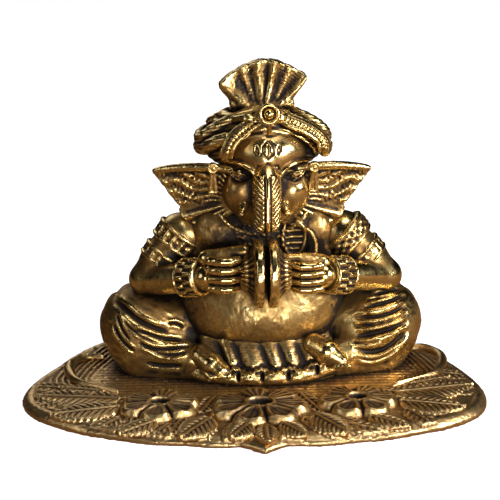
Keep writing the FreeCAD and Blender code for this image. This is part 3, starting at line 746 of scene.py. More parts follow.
def arm(side):
    """Upper arm and forearm."""
    name = "left_arm" if side < 0 else "right_arm"
    box = Box(name)
    shoulder, elbow, wrist = (off_axis(side, *p) for p in (SHOULDER, ELBOWS[side], WRIST))
    clay = Clay(box.low - (4, 0, 0), box.high + (4, 0, 0), PLAIN)
    clay.add(stroke([shoulder, elbow], (9.4, 7.0)))
    clay.add(stroke([shoulder + (-side * 11, 2.0, -1.0), shoulder], (7.5, 8.6)), 3)
    clay.add(stroke([elbow, elbow * 0.6 + wrist * 0.4, wrist], (6.9, 6.7, 5.3)), 1.5)
    clay.add(ellipsoid(shoulder * 0.45 + elbow * 0.55 + (0, -0.8, 0.4), (8.3, 8.0, 8.6)), 3)
    clay.relief(hammered(0.04, 6.0, 51 + side))
    return make_piece(name + "_cast", clay, [name], "burnished_brass")


def frame_along(start, end):
    """A turn that carries the Z axis onto the way from start to end."""
    z = np.asarray(end, float) - np.asarray(start, float)
    z /= np.linalg.norm(z)
    x = np.cross((0, 1, 0), z)
    x /= np.linalg.norm(x)
    return np.stack([x, np.cross(z, x), z], 1)


def band_round(name, side, node, start, end, radii, share, build):
    """A piece sculpted round a limb: build(clay, radius, length) works with Z along the limb."""
    start, end = off_axis(side, *start), off_axis(side, *end)
    length = np.linalg.norm(end - start) * (share[1] - share[0])
    radius = radii[0] + (radii[1] - radii[0]) * (share[0] + share[1]) / 2
    centre = start + (end - start) * (share[0] + share[1]) / 2
    reach = radius + 3.2
    clay = Clay((-reach, -reach, -length / 2 - 1), (reach, reach, length / 2 + 1), FINE,
                frame_along(start, end), centre)
    slope = (radii[1] - radii[0]) * (share[1] - share[0]) / length
    build(clay, radius, length, slope)
    return make_piece(name, clay, [node], "antique_brass")


def sleeve(radius, length, slope, thickness):
    """A short tube round the Z axis, wall and all."""
    reach = radius + 4

    def field(x, y, z):
        away = np.sqrt(x * x + y * y) - (radius + slope * z)
        shell = np.abs(away) - thickness
        ends = np.abs(z) - length / 2
        return smooth_max(shell, ends, 0.8)

    return Shape(np.array((-reach, -reach, -length / 2)), np.array((reach, reach, length / 2)), field)


def smooth_max(a, b, blend):
    return -smooth_min(-a, -b, blend)


def armlet(clay, radius, length, slope):
    """Two plain rims with thick slanting ribs between them."""
    clay.add(sleeve(radius, length, slope, 1.2))

    def ribs(x, y, z):
        turn = np.arctan2(y, x)
        middle = 1 - step_up(np.abs(z), length / 2 - 2.2, length / 2 - 1.5)
        rims = hump(np.abs(z) - length / 2 + 1.0, 0.6)
        rib = np.cos(15 * turn)
        rung = hump(z, 0.5)
        return 0.5 * rims + (0.5 * rib - 0.3) * middle * (1 - 0.4 * rung) + 0.15 * rung

    clay.relief(ribs)


def padded_armlet(clay, radius, length, slope):
    """A rounded pad between two rims, crossed by short thick bars in rows."""
    clay.add(sleeve(radius, length, slope, 1.3))

    def ribs(x, y, z):
        turn = np.arctan2(y, x)
        pad = 0.9 * (1 - (2 * z / length) ** 2)
        rims = hump(np.abs(z) - length / 2 + 1.0, 0.55)
        bars = np.cos(13 * turn) * np.cos(TWO_PI * z / 3.2)
        return pad + 0.5 * rims + 0.4 * bars * (1 - step_up(np.abs(z), length / 2 - 2.0, length / 2 - 1.4))

    clay.relief(ribs)


def bracelet(clay, radius, length, slope):
    """A wide cuff: a rim at each end and two rows of short thick bars."""
    clay.add(sleeve(radius, length, slope, 1.5))

    def ribs(x, y, z):
        turn = np.arctan2(y, x)
        pad = 0.5 * (1 - (2 * z / length) ** 2)
        rims = hump(np.abs(z) - length / 2 + 0.9, 0.5)
        bars = np.cos(14 * turn + np.where(z > 0, 0.0, math.pi))
        parting = hump(z, 0.35)
        middle = 1 - step_up(np.abs(z), length / 2 - 2.0, length / 2 - 1.4)
        return pad + 0.5 * rims + (0.6 * bars - 0.15) * middle * (1 - parting) - 0.5 * parting

    clay.relief(ribs)


def hand(side):
    """Four fingers closed round the cymbal's strap, and a broad thumb laid along the top."""
    name = "left_hand" if side < 0 else "right_hand"
    box = Box(name)
    clay = Clay(box.low - (3, 2, 2), box.high + (3, 1, 4), FINE)
    top, pitch, plump = (0.76, 0.5, 1.0) if side < 0 else (0.42, 0.43, 0.86)
    clay.add(block(box.at(0, 0.35, top - 1.5 * pitch), box.half * (0.84, 0.6, 1.85 * pitch), 3.4))
    tip = -side
    for i in range(4):
        w = top - pitch * i
        reach = (0.92, 0.98, 0.98, 0.9)[i]
        root, knuckle = box.at(-tip * 0.8, -0.5, w), box.at(-tip * 0.1, -0.72, w)
        middle, end = box.at(tip * 0.5, -0.72, w), box.at(tip * reach, -0.45, w)
        widths = np.array((1.85, 1.95, 1.9, 1.75)) * plump
        clay.add(stroke([root, knuckle, middle, end], widths, (0, 1, 0), 0.9), 0.1)
        clay.add(ellipsoid(box.at(-tip * 0.35, -0.8, w), (2.0, 1.0, 1.75 * plump)), 0.4)
    for i in range(3):
        w = top - pitch * (i + 0.5)
        clay.cut(stroke([box.at(-tip * 0.72, -1.05, w), box.at(tip * 1.1, -0.95, w)], 0.45), 0.3)
    for bend in (0.02, 0.66):
        for i in range(4):
            w = top - pitch * i
            joint = [box.at(tip * bend, -1.2, w + reach) for reach in (-0.14, 0.14)]
            clay.cut(stroke(joint, 0.38), 0.25)
    thumb = [box.at(-tip * 1.0, 0.65, top - 0.2), box.at(0, 0.6, top - 0.03),
             box.at(tip * 1.4, 0.5, top + (0.22 if side < 0 else 0.0))]
    clay.add(stroke(curve(thumb), np.interp(np.linspace(0, 1, 25), (0, 1), (3.5, 2.7))), 1.6)
    clay.relief(hammered(0.05, 3.0, 61 + side))
    return make_piece(name + "_cast", clay, [name], "burnished_brass")


def cymbal(side):
    """A thick-rimmed disc on edge, face inwards, with a deep ribbed dome outwards."""
    name = "left_cymbal" if side < 0 else "right_cymbal"
    box = Box(name)
    cy, cz = box.centre[1], box.centre[2]
    face_x = box.high[0] if side < 0 else box.low[0]
    radius = box.half[2]
    clay = Clay(box.low - 0.5, box.high + 0.5, FINE)
    reach = np.array((14, radius, radius))
    rim_width, corner = 3.7, 1.3

    def disc(x, y, z):
        """The rim: a short drum with rounded edges, slightly dished on its face."""
        away = np.sqrt((y - cy) ** 2 + (z - cz) ** 2)
        out = side * (x - face_x)
        dish = 0.9 * (1 - step_up(away, radius - 3.5, radius - 2.0))
        flat = np.maximum(out - rim_width, dish - out)
        return smooth_max(flat, away - radius, corner)

    def bell(x, y, z):
        """The outer face: a shoulder that steps up to a dome."""
        away = np.sqrt((y - cy) ** 2 + (z - cz) ** 2)
        out = side * (x - face_x)
        face = np.interp(away, (0, 5, 7.6, 8.6, 10.5, radius - 1), (9.6, 9.2, 7.6, 5.6, 4.4, 3.5))
        return np.maximum(np.maximum((out - face) * 0.7, 1.2 - out), away - radius + 1.0)

    centre = np.array((face_x, cy, cz))
    clay.add(Shape(centre - reach, centre + reach, disc))
    clay.add(Shape(centre - reach, centre + reach, bell), 0.5)

    def detail(x, y, z):
        away = np.sqrt((y - cy) ** 2 + (z - cz) ** 2)
        turn = np.arctan2(z - cz, y - cy)
        out = side * (x - face_x)
        back = step_up(out, 3.9, 4.8)
        seam = hump(out - 0.9 * rim_width, 0.35) * step_up(away, radius - 1.6, radius - 0.6)
        return (0.24 * np.cos(24 * turn) - 0.1) * back - 0.1 * seam

    clay.relief(detail)
    clay.relief(hammered(0.07, 3.0, 71))
    return make_piece(name + "_cast", clay, [name], "burnished_brass")


# --- Figure: head ---------------------------------------------------------------------------------

def head():
    """A domed brow that overhangs the eyes and runs down into the trunk, and full cheeks beside it."""
    box = Box("head")
    c = box.centre + (1.4, 0, 0)
    clay = Clay(box.low - (0, 2, 6), box.high + (1, 0, 0), FINE)
    clay.add(ellipsoid(box.centre + (0, 1.0, -0.5), (17.8, 15.6, 18.6)))
    clay.add(ellipsoid(c + (0, -3.6, 7.0), (16.4, 12.8, 11.0)), 3)
    clay.add(ellipsoid(c + (0, -10.6, 3.5), (8.0, 6.4, 8.0)), 4)
    for side in (-1, 1):
        clay.add(ellipsoid(c + (side * 10.0, -7.2, -9.5), (8.0, 8.0, 10.0)), 3)
        clay.add(ellipsoid(c + (side * 7.0, -8.8, -17.0), (5.4, 5.2, 7.0)), 3)
        clay.add(ellipsoid(c + (side * 5.6, -9.6, -12.5), (4.0, 4.4, 9.0)), 2.5)
    for side in (-1, 1):
        clay.cut(ellipsoid(c + (side * 11.0, -16.8, -1.2), (7.2, 6.2, 3.4), tilted(side * 12)), 1.2)
    bridge = [c + (0, -10.4, 7.5), c + (0, -11.8, 1.5), c + (0, -13.0, -4.5)]
    clay.add(stroke(bridge, (5.0, 5.2, 5.0), (0, 1, 0), 1.1), 3)
    for side in (-1, 1):
        brow = [(4.6, -16.6, -1.6), (6.4, -16.4, 1.2), (9.6, -15.2, 3.3), (13.4, -12.3, 4.0),
                (17.0, -7.4, 3.0)]
        clay.add(stroke(curve([c + (side * x, y, z) for x, y, z in brow]), 0.7), 1.4)
        eye = c + (side * 11.0, -11.5, -2.0)
        ends = [eye + (side * x, 0.075 * x * x, 0.34 * x) for x in (-2.3, 0.0, 2.3)]
        clay.add(stroke(ends, (0.9, 1.35, 0.9)), 0.2)
        for way, size in ((1, 0.34), (-1, 0.26)):
            lid = [(-4.3, 0.3, -1.5), (-2.2, -0.9, way * 1.25 - 0.75), (0.3, -1.3, way * 1.45 + 0.1),
                   (2.6, -0.7, way * 1.1 + 0.9), (4.6, 0.6, 1.7)]
            path = [eye + (side * x, y, z) for x, y, z in lid]
            clay.add(stroke(curve(path, 6), size), 0.3)
        clay.cut(ellipsoid(eye + (-side * 0.2, -1.4, 0.0), (0.7, 0.5, 0.7)), 0.1)
    leaf = [[(0.0, 13.2), (2.1, 11.2), (2.3, 9.0), (0.0, 6.4)], [(0.0, 11.6), (0.0, 8.0)],
            [(3.8, 8.2), (4.9, 9.4), (4.6, 11.0), (3.9, 9.8), (3.8, 8.2)]]
    bud = [[(0.0, 4.6), (1.7, 3.0), (1.6, 0.8), (0.0, -1.4)], [(0.0, 3.0), (0.0, 0.2)],
           [(2.6, 3.4), (4.0, 3.6), (4.4, 2.2), (3.2, 1.8)]]
    drawn = [np.array(line, float) for line in leaf + bud]

    def mark(x, y, z):
        """A plain leaf cut into the brow and a bud below it, the same on both sides."""
        across, up = np.abs(x - c[0]), z - c[2]
        away = np.full(np.broadcast_shapes(across.shape, up.shape), 9.0)
        for line in drawn:
            away = np.minimum(away, from_line(line, across, up)[0])
        return -0.55 * hump(away, 0.36)

    clay.relief(mark, facing=((0, -1, 0.4), 0.2, 0.5))
    clay.relief(hammered(0.04, 6.0, 81))
    return make_piece("head_cast", clay, ["head"], "burnished_brass")


def trunk():
    """Hangs straight down from the brow. A raised band runs down its middle between slanting strokes."""
    box = Box("trunk")
    c = box.centre
    clay = Clay(box.low - (0, 0.5, 0.5), box.high + (2, 0.5, 0.5), FINE)
    middle = 0.9
    spine = curve([c + np.array(p) for p in
                   ((middle, 13.0, 12.0), (middle, 8.6, 8.0), (middle, 4.0, 3.5), (middle, 0.4, -2.5),
                    (middle - 0.3, -1.2, -10.5))])
    clay.add(stroke(spine, np.interp(np.linspace(0, 1, len(spine)), (0, 0.3, 0.55, 1), (3.6, 4.8, 6.0, 5.6)),
                    (0, 1, 0), 1.12))
    clay.add(ellipsoid(c + (middle - 0.3, -1.2, -12.6), (5.5, 5.0, 4.4)), 1.5)
    pitch = 1.95

    def strokes(x, y, z):
        across, up = np.abs(x - c[0] - middle), z - c[2]
        span = step_up(across, 1.6, 2.0) * (1 - step_up(across, 5.8, 6.6))
        rows = step_up(up, -17.0, -16.0) * (1 - step_up(up, 5.0, 6.5))
        phase = (up - 0.55 * across - 0.05 * across ** 2) / pitch
        saw = phase - np.floor(phase)
        scales = 0.5 * (saw - 0.4) - 0.75 * groove(phase, 0.13)
        band = 0.3 * (1 - step_up(across, 0.6, 0.9)) - 0.8 * hump(across - 1.2, 0.36)
        return scales * span * rows + band * (1 - step_up(up, 5.5, 7.0))

    clay.relief(strokes, facing=((0, -1, 0), -0.1, 0.35))
    return make_piece("trunk_cast", clay, ["trunk"], "burnished_brass")


def tusk(side):
    """A short stub beside the trunk, ringed at its root."""
    name = "left_tusk" if side < 0 else "right_tusk"
    box = Box(name)
    clay = Clay(box.low - 1, box.high + 1, FINE)
    root, tip = box.at(-side * 0.35, 0.6, 0.35), box.at(side * 0.1, -0.3, -0.35)
    clay.add(stroke(curve([root, (root + tip) / 2 + (0, 0, -0.5), tip]),
                    np.interp(np.linspace(0, 1, 25), (0, 1), (2.3, 1.3))))
    clay.add(ellipsoid(root + (0, 0.2, 0), (2.6, 1.6, 2.4)), 0.3)
    clay.relief(hammered(0.06, 1.2, 85))
    return make_piece(name + "_cast", clay, [name], "burnished_brass")


def ear(side):
    """A fan set back at its tip: rolled upper edge, wavy ribs, a notch and a ribbed lobe."""
    name = "left_ear" if side < 0 else "right_ear"
    box = Box(name)
    out_angle = math.radians(13.0)
    root = np.array((AXIS_X + side * 12.0, box.low[1], 0.0))
    away = np.array((side * math.cos(out_angle), math.sin(out_angle), 0.0))
    back = np.array((-side * away[1], side * away[0], 0.0))
    low_z, high_z = box.low[2], box.high[2]
    clay = Clay((-3, -2.5, low_z - 1), (36, 6, high_z + 1), FINE, np.stack([away, back, (0, 0, 1)], 1), root)
    outline = np.vstack([
        curve([(-2, 92.0), (8, 93.4), (18, 93.4), (27, 92.3), (34.2, 90.2)], 6),
        curve([(34.0, 88.6), (31, 85.2), (28.0, 81.0), (25.4, 77.5), (23.0, 74.8)], 6),
        curve([(23.6, 73.4), (22.2, 70.6), (18.2, 68.0), (13.6, 67.6), (6, 70.0), (-2, 75.0)], 6),
    ])
    d_low = clay.low
    ex = (d_low[0] + clay.step * np.arange(clay.d.shape[0]))[:, None]
    ez = (d_low[2] + clay.step * np.arange(clay.d.shape[2]))[None, :]
    flat = polygon_distance(ex, ez, outline)

    def rib(x, z):
        """Wavy dents above the notch, a parting, then straight ribs that spread through the lobe."""
        angle = np.degrees(np.arctan2(z - 80.0, x + 4.0))
        reach = np.sqrt((x + 4.0) ** 2 + (z - 80.0) ** 2)
        wavy = np.cos(TWO_PI * (angle / 9.5 + 0.25 * np.sin(reach / 2.6)))
        rough = ripple(x, 0 * x, z, 3.4, 92) * ripple(x, 0 * x, z, 2.3, 93)
        lobe = np.cos(TWO_PI * angle / 10.5)
        upper = step_up(angle, -14, -6)
        far = step_up(reach, 8, 13)
        parting = -0.9 * hump(angle + 11, 3.0)
        return ((0.28 * wavy + 0.22 * rough) * upper + 0.42 * lobe * (1 - upper) + parting) * far

    dish = 1.5 * np.exp(-(((ex - 15) / 10) ** 2 + ((ez - 84) / 6) ** 2))
    front = 0.4 + dish - rib(ex, ez)
    thick = 3.9
    y = (d_low[1] + clay.step * np.arange(clay.d.shape[1]))[None, :, None]
    body = np.maximum(front[:, None, :] - y, y - thick)
    clay.d = smooth_max(body, flat[:, None, :].repeat(len(y.ravel()), 1), 1.2).astype(np.float32)
    roll = curve([(-2, 1.2, 91.6), (8, 0.9, 92.4), (18, 0.8, 92.2), (27, 1.0, 91.1), (32.8, 1.6, 89.7)])
    clay.add(stroke(roll, np.interp(np.linspace(0, 1, len(roll)), (0, 0.5, 1), (1.7, 1.8, 1.3))), 0.6)
    clay.relief(hammered(0.06, 2.0, 91))
    return make_piece(name + "_cast", clay, [name], "antique_brass")


def polygon_distance(x, y, corners):
    """Signed distance in a plane to a closed outline, negative inside."""
    best = np.full(np.broadcast_shapes(x.shape, y.shape), 1e9)
    inside = np.zeros(best.shape, bool)
    following = np.roll(corners, -1, 0)
    for (ax, ay), (bx, by) in zip(corners, following):
        ex, ey = bx - ax, by - ay
        px, py = x - ax, y - ay
        share = np.clip((px * ex + py * ey) / max(ex * ex + ey * ey, 1e-9), 0, 1)
        best = np.minimum(best, (px - share * ex) ** 2 + (py - share * ey) ** 2)
        if ay != by:
            crosses = ((ay > y) != (by > y)) & (x < ex * (y - ay) / (by - ay) + ax)
            inside ^= crosses
    return np.where(inside, -1, 1) * np.sqrt(best)


# --- Figure: turban and jewellery ------------------------------------------------------------------

TURBAN = Box("turban_wrap")
TURBAN_RADII = np.array((27.0, 19.6, 13.5))
TURBAN_CENTRE = np.array((AXIS_X + 0.5, TURBAN.centre[1] - 1.2, TURBAN.low[2] + 9.8))


def on_turban(places, stand_out=0.0):
    """Points on the front of the turban's round. A place is (across, up) as drawn from 20 degrees above,
    from the turban's centre."""
    rx, ry, rz = TURBAN_RADII + stand_out
    out = []
    for across, up in np.asarray(places, float):
        girth = math.sqrt(max(1 - (across / rx) ** 2, 0.02))
        rise, lean = LIFT * rz * girth, LEAN * ry * girth
        size = math.hypot(rise, lean)
        turn = math.atan2(lean, rise) + math.asin(max(-1.0, min(1.0, up / size)))
        out.append(TURBAN_CENTRE + (across, -ry * girth * math.cos(turn), rz * girth * math.sin(turn)))
    return np.array(out)


def round_the_back(front, side, stand_out, end_height):
    """Carries a path on from the turban's side to the middle of its back."""
    rx, ry = TURBAN_RADII[:2] + stand_out
    last = front[-1] - TURBAN_CENTRE
    start = math.atan2(side * last[0] / rx, -last[1] / ry)
    path = []
    for share in np.linspace(0.08, 1.0, 24):
        angle = start + (math.pi - start) * share
        height = last[2] + (end_height - last[2]) * share
        girth = math.sqrt(max(1 - (height / (TURBAN_RADII[2] + stand_out)) ** 2, 0.1))
        across, back = side * rx * girth * math.sin(angle), -ry * girth * math.cos(angle)
        path.append(TURBAN_CENTRE + (across, back, height))
    return np.vstack([front, path])


def turban_wrap():
    """Rolls of cloth that sweep down from the jewel to the sides and on round the back."""
    box = TURBAN
    c = TURBAN_CENTRE
    clay = Clay(box.low - (0.5, 1, 0), box.high + (0.5, 0.5, 4), FINE)
    clay.add(ellipsoid(c, TURBAN_RADII - (1.5, 1.2, 0.8)))
    left = [((-2.5, 11.9), (-10.0, 8.8), (-16.3, 6.3), (-22.2, 2.8), (-25.4, 0.4)), 2.5, 4.0]
    left_low = [((-15.5, -0.5), (-20.0, -1.6), (-24.0, -3.4)), 2.7, -4.0]
    left_top = [((0.0, 14.4), (-6.3, 13.6), (-15.1, 11.3), (-21.0, 8.6)), 2.3, 9.0]
    right = [((6.3, 13.6), (11.3, 12.0), (16.3, 9.2), (22.0, 6.2), (26.0, 2.6)), 2.6, 4.6]
    right_low = [((21.0, 0.5), (24.5, -1.4), (26.2, -4.4)), 2.6, -4.0]
    right_top = [((2.0, 15.0), (9.0, 14.2), (15.0, 11.8), (21.0, 9.0)), 2.2, 9.0]
    for side, (places, size, end) in ((-1, left), (-1, left_low), (-1, left_top),
                                      (1, right), (1, right_low), (1, right_top)):
        front = on_turban(curve(places, 8), -0.6 * size + 0.8)
        path = round_the_back(front, side, -0.6 * size + 0.8, end)
        clay.add(stroke(path, size), 0.5)
        out = path - c
        out = out / np.linalg.norm(out, axis=1)[:, None]
        clay.add(beads(evenly(path + 0.62 * size * out - (0, 0, 0.66 * size), 1.35), 0.62), 0.1)
    opening = np.array([(3.3, 2.2), (-4.5, 0.4), (-9.4, -2.6), (-13.2, -6.2), (-15.4, -9.8), (-15.8, -24),
                        (22.0, -24), (21.4, -9.4), (19.2, -5.4), (15.6, -2.6), (10.4, 0.2), (5.8, 1.8)])
    opening += (0.0, 1.2)
    top = drawn_height(c[1], c[2])
    low, high = c + (-20, -30, -16), c + (26, -6, 9)

    def face_opening(x, y, z):
        """The space in front of the face, its outline drawn from the front."""
        flat_x = x[:, :, 0] + 0 * y[:, :, 0]
        heights = drawn_height(y, z) + 0 * x - top
        return np.maximum(polygon_distance(flat_x[:, :, None] - c[0], heights, opening), y - (c[1] - 7))

    clay.cut(Shape(low, high, face_opening), 0.6)

    def weave(x, y, z):
        turn = np.arctan2(x - c[0], -(y - c[1]))
        slant = (z - c[2]) + 5.5 * np.abs(turn)
        return 0.12 * np.cos(TWO_PI * slant / 1.9)

    clay.relief(weave)
    clay.relief(hammered(0.04, 2.4, 101))
    return make_piece("turban_wrap_cloth", clay.keep(above(box.low[2])), ["turban_wrap"], "antique_brass")


def turban_band():
    """The ribbon that frames the forehead: a row of studs between two cords."""
    box = Box("turban_band")
    clay = Clay(box.low - (1, 3, 1), box.high + (1, 0, 1), FINE)
    left = ((0.5, 9.4), (-3.6, 6.4), (-8.4, 3.0), (-12.2, -0.4), (-14.6, -4.0), (-15.8, -7.4))
    right = ((6.0, 9.2), (10.2, 6.6), (15.2, 4.6), (20.0, 1.9), (23.6, -1.2), (24.6, -5.0))
    for side, middle in ((-1, left), (1, right)):
        run = curve(middle, 8)
        step = np.gradient(run, axis=0)
        normal = np.stack([-step[:, 1], step[:, 0]], 1) / np.linalg.norm(step, axis=1)[:, None] * -side
        wide = 2.0 if side < 0 else 2.5
        base = on_turban(run, 0.6)
        clay.add(stroke(base, wide), 0.3)
        for offset, size in ((-wide, 0.95), (wide, 0.8)):
            clay.add(stroke(on_turban(run + normal * offset, 1.5), size), 0.2)
        studs = evenly(on_turban(run, 2.6 if side < 0 else 3.0), 1.75 if side < 0 else 1.5)
        clay.add(beads(studs, 1.0 if side < 0 else 0.85), 0.15)
        if side > 0:
            for offset in (-1.1, 1.1):
                clay.add(beads(evenly(on_turban(run + normal * offset, 2.6), 1.5), 0.7), 0.15)
    clay.relief(hammered(0.05, 1.6, 103))
    return make_piece("turban_band_cord", clay, ["turban_band"], "antique_brass")


def turban_top():
    """Folds that cross under the crest and run down to both sides."""
    box = Box("turban_top")
    c = box.centre
    clay = Clay(box.low - (0.5, 1, 2), box.high + (0.5, 0.5, 1), FINE)
    clay.add(ellipsoid(c + (0, 0.5, -3.2), (19.8, 16.4, 6.0)))
    clay.add(stroke([c + (-6, 3.0, -1.2), c + (6, 3.0, -1.2)], 6.0, (0, 0, 1), 1.3), 2.5)
    for side in (-1, 1):
        for lift, spread, size in ((2.4, 0.55, 2.4), (-0.6, 0.8, 2.6), (-3.4, 1.0, 2.4)):
            lift -= 1.2 * (side > 0)
            path = []
            for share in np.linspace(0, 1, 30):
                angle = side * (0.05 + share * 2.95)
                widest = 10.0 if side < 0 else 7.5
                reach_x, reach_y = 10 + widest * min(1, 1.8 * share) * spread, 16.0 * (0.78 + 0.2 * spread)
                path.append(c + (reach_x * math.sin(angle), -reach_y * math.cos(angle) * 0.95,
                                 lift - 3.4 * share * spread))
            clay.add(stroke(path, size), 0.3)
        leaf_fold = [c + (side * 1.0, -14.0, 0.6), c + (side * 6.5, -12.6, 3.4), c + (side * 12.5, -7.5, 1.8)]
        size = np.interp(np.linspace(0, 1, 25), (0, 0.5, 1), (0.9, 2.4, 0.8))
        clay.add(stroke(curve(leaf_fold), size), 0.3)

    def lines(x, y, z):
        turn = np.arctan2(x - c[0], -(y - c[1]))
        return 0.09 * np.cos(TWO_PI * ((z - c[2]) + 4.5 * np.abs(turn)) / 1.8)

    clay.relief(lines)
    clay.relief(hammered(0.04, 2.4, 107))
    return make_piece("turban_top_cloth", clay, ["turban_top"], "antique_brass")


def turban_jewel():
    """A small domed stone in a ring, with a drop below."""
    box = Box("turban_jewel")
    axis = np.array((0, -1, 0.25)) / np.linalg.norm((0, -1, 0.25))
    front = box.at(0.1, -0.72, 0.2)
    across = np.array((1.0, 0, 0))
    upward = np.cross(axis, across)
    clay = Clay(box.low - (1, 3, 4), box.high + (2, 1, 1), FINE)
    clay.add(stroke([front - axis * 8.0, front - axis * 3.6], 3.5))
    turns = np.linspace(0, TWO_PI, 49)
    ring = [front - axis * 0.6 + 3.5 * (math.cos(a) * across + math.sin(a) * upward) for a in turns]
    clay.add(stroke(ring, 0.75), 0.15)
    clay.add(ellipsoid(front - axis * 1.2, (2.2, 2.4, 2.2)), 0.05)
    drop = front + (0.2, 1.6, -5.0)
    clay.add(stroke([drop + (0, 0, 1.2), drop + (0, 1.8, -3.2)], (0.8, 1.0)), 0.4)
    return make_piece("turban_jewel_cast", clay, ["turban_jewel"], "burnished_brass")


def crest_fan():
    """The pleated end of the cloth, opened like a fan: a strong roll on its left, softer ones beyond."""
    box = Box("crest_fan")
    c = box.centre
    top_z = box.high[2]
    apex = np.array((c[0], top_z - 32.0))
    outline = curve([(-11.8, -20.8), (-13.2, -16.2), (-16.2, -12.6), (-17.2, -9.8), (-13.4, -6.0),
                     (-7.5, -2.2), (0.4, 0.0), (7.6, -0.8), (13.2, -3.2), (18.7, -7.2), (15.6, -12.4),
                     (12.8, -17.0), (12.0, -20.8)], 4) + (c[0], top_z)
    rolls = ((-34, 1.5, 2.4), (-15, 0.8, 0.8), (-2, 1.1, 1.3), (10, 0.8, 1.8), (23, 0.7, 0.6), (37, 0.9, 1.6))
    clay = Clay(box.low - (1, 3.5, 2.5), box.high + (1, 0.5, 0.5), FINE)

    def field(x, y, z):
        flat_x, flat_z = x[:, 0, 0][:, None], z[0, 0, :][None, :]
        edge = polygon_distance(flat_x, flat_z, outline)
        across, up = flat_x - apex[0], flat_z - apex[1]
        away = np.sqrt(across ** 2 + up ** 2)
        angle = np.arctan2(across, up)
        open_share = step_up(away, 10, 22)
        ridge = np.zeros(away.shape)
        for degrees, width, rise in rolls:
            bend = math.radians(degrees) * (0.72 + 0.28 * step_up(away, 12, 27))
            near = np.abs(angle - bend) * away
            ridge = np.maximum(ridge, rise * hump(near, width * (0.8 + 0.075 * away)))
        flat = 1 - np.clip(ridge, 0, 1)
        hatch = 0.1 * np.cos(TWO_PI * (away + 0.12 * across) / 1.3) * flat * open_share
        forward = 3.0 * (1 - step_up(away, 14, 24))
        front = box.low[1] + 2.8 - forward - 1.25 * ridge * (0.4 + 0.6 * open_share) + hatch
        back = box.high[1] - 0.3 - 1.6 * flat * open_share
        edge = edge + 0.35 * flat * step_up(away, 22, 28)
        edge, front, back = (v[:, None, :] for v in (edge, front, back))
        thin = np.maximum(front - y, y - back)
        return smooth_max(thin, edge + 0 * y, 0.9) * 0.9

    clay.add(Shape(box.low - 4, box.high + 3, field))
    tie = [c + (-11.0, -2.4, -8.2), c + (0, -3.2, -8.8), c + (11.5, -2.4, -8.2)]
    clay.add(stroke(tie, 2.2, (0, 0, 1), 1.1), 0.8)
    clay.relief(hammered(0.1, 2.0, 113))
    return make_piece("crest_fan_cloth", clay, ["crest_fan"], "antique_brass")


def earring(side):
    """A ringed stud with a slotted bar hanging from it."""
    name = "left_earring" if side < 0 else "right_earring"
    box = Box(name)
    clay = Clay(box.low - 1, box.high + 1, FINE)
    stud = box.at(0, -0.1, 0.74)
    clay.add(ellipsoid(stud + (0, 0.6, 0), (2.3, 1.5, 2.3)))
    ring = [stud + (1.7 * math.cos(a), -0.6, 1.7 * math.sin(a)) for a in np.linspace(0, TWO_PI, 33)]
    clay.add(stroke(ring, 0.55), 0.15)
    clay.add(ellipsoid(stud + (0, -0.7, 0), (0.85, 0.9, 0.85)))
    foot = box.at(0, 0.15, -0.88)
    for lean in (-1, 1):
        clay.add(stroke([stud + (lean * 0.5, 0, -2.0), foot + (lean * 1.2, 0, 0.4)], (0.8, 0.95)), 0.25)
    clay.add(stroke([foot + (-1.2, 0, 0.4), foot + (1.2, 0, 0.4)], 0.95), 0.2)
    clay.add(stroke([stud + (0, 0.8, -2), foot + (0, 0.9, 0.8)], (1.0, 1.4)), 0.2)
    return make_piece(name + "_cast", clay, [name], "antique_brass", least=40)


def necklace():
    """A low string of small beads, half sunk in the chest."""
    box = Box("necklace")
    path = curve([box.at(-0.8, 0.35, 0.5), box.at(-0.66, 0.0, 0.0), box.at(-0.38, -0.3, -0.42),
                  box.at(0, -0.4, -0.62), box.at(0.38, -0.3, -0.42), box.at(0.66, 0.0, 0.0),
                  box.at(0.8, 0.35, 0.5)])
    clay = Clay(box.low - 1, box.high + 1, FINE)
    path = path + np.array((0, 2.2, 0.4))
    clay.add(stroke(path, 0.9))
    clay.add(beads(evenly(path, 2.0), 1.1), 0.35)
    clay.add(stroke(path + np.array((0, 0.6, -1.7)), 0.6), 0.2)
    clay.relief(hammered(0.12, 1.6, 121))
    return make_piece("necklace_beads", clay, ["necklace"], "antique_brass")


# --- Plate ------------------------------------------------------------------------------------------

def plate_reach():
    """The plate's outline as distance from its middle for each turn, read off the CAD plate's outer wall."""
    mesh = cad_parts["base_plate"].data
    corners = set()
    for face in mesh.polygons:
        places = [mesh.vertices[i].co / MM for i in face.vertices]
        middle = sum(places, Vector((0, 0, 0))) / len(places)
        outward = face.normal.x * middle.x + face.normal.y * middle.y
        if abs(face.normal.z) < 0.3 and outward > 0 and min(p.z for p in places) < 0.5:
            corners.update((p.x, p.y) for p in places)
    points = np.array(sorted(corners))
    turn = np.arctan2(points[:, 1], points[:, 0])
    order = np.argsort(turn)
    away = np.hypot(points[:, 0], points[:, 1])
    turns = np.linspace(-math.pi, math.pi, 1440, endpoint=False)
    return np.interp(turns, turn[order], away[order], period=TWO_PI), turns


PLATE_REACH, PLATE_TURNS = plate_reach()


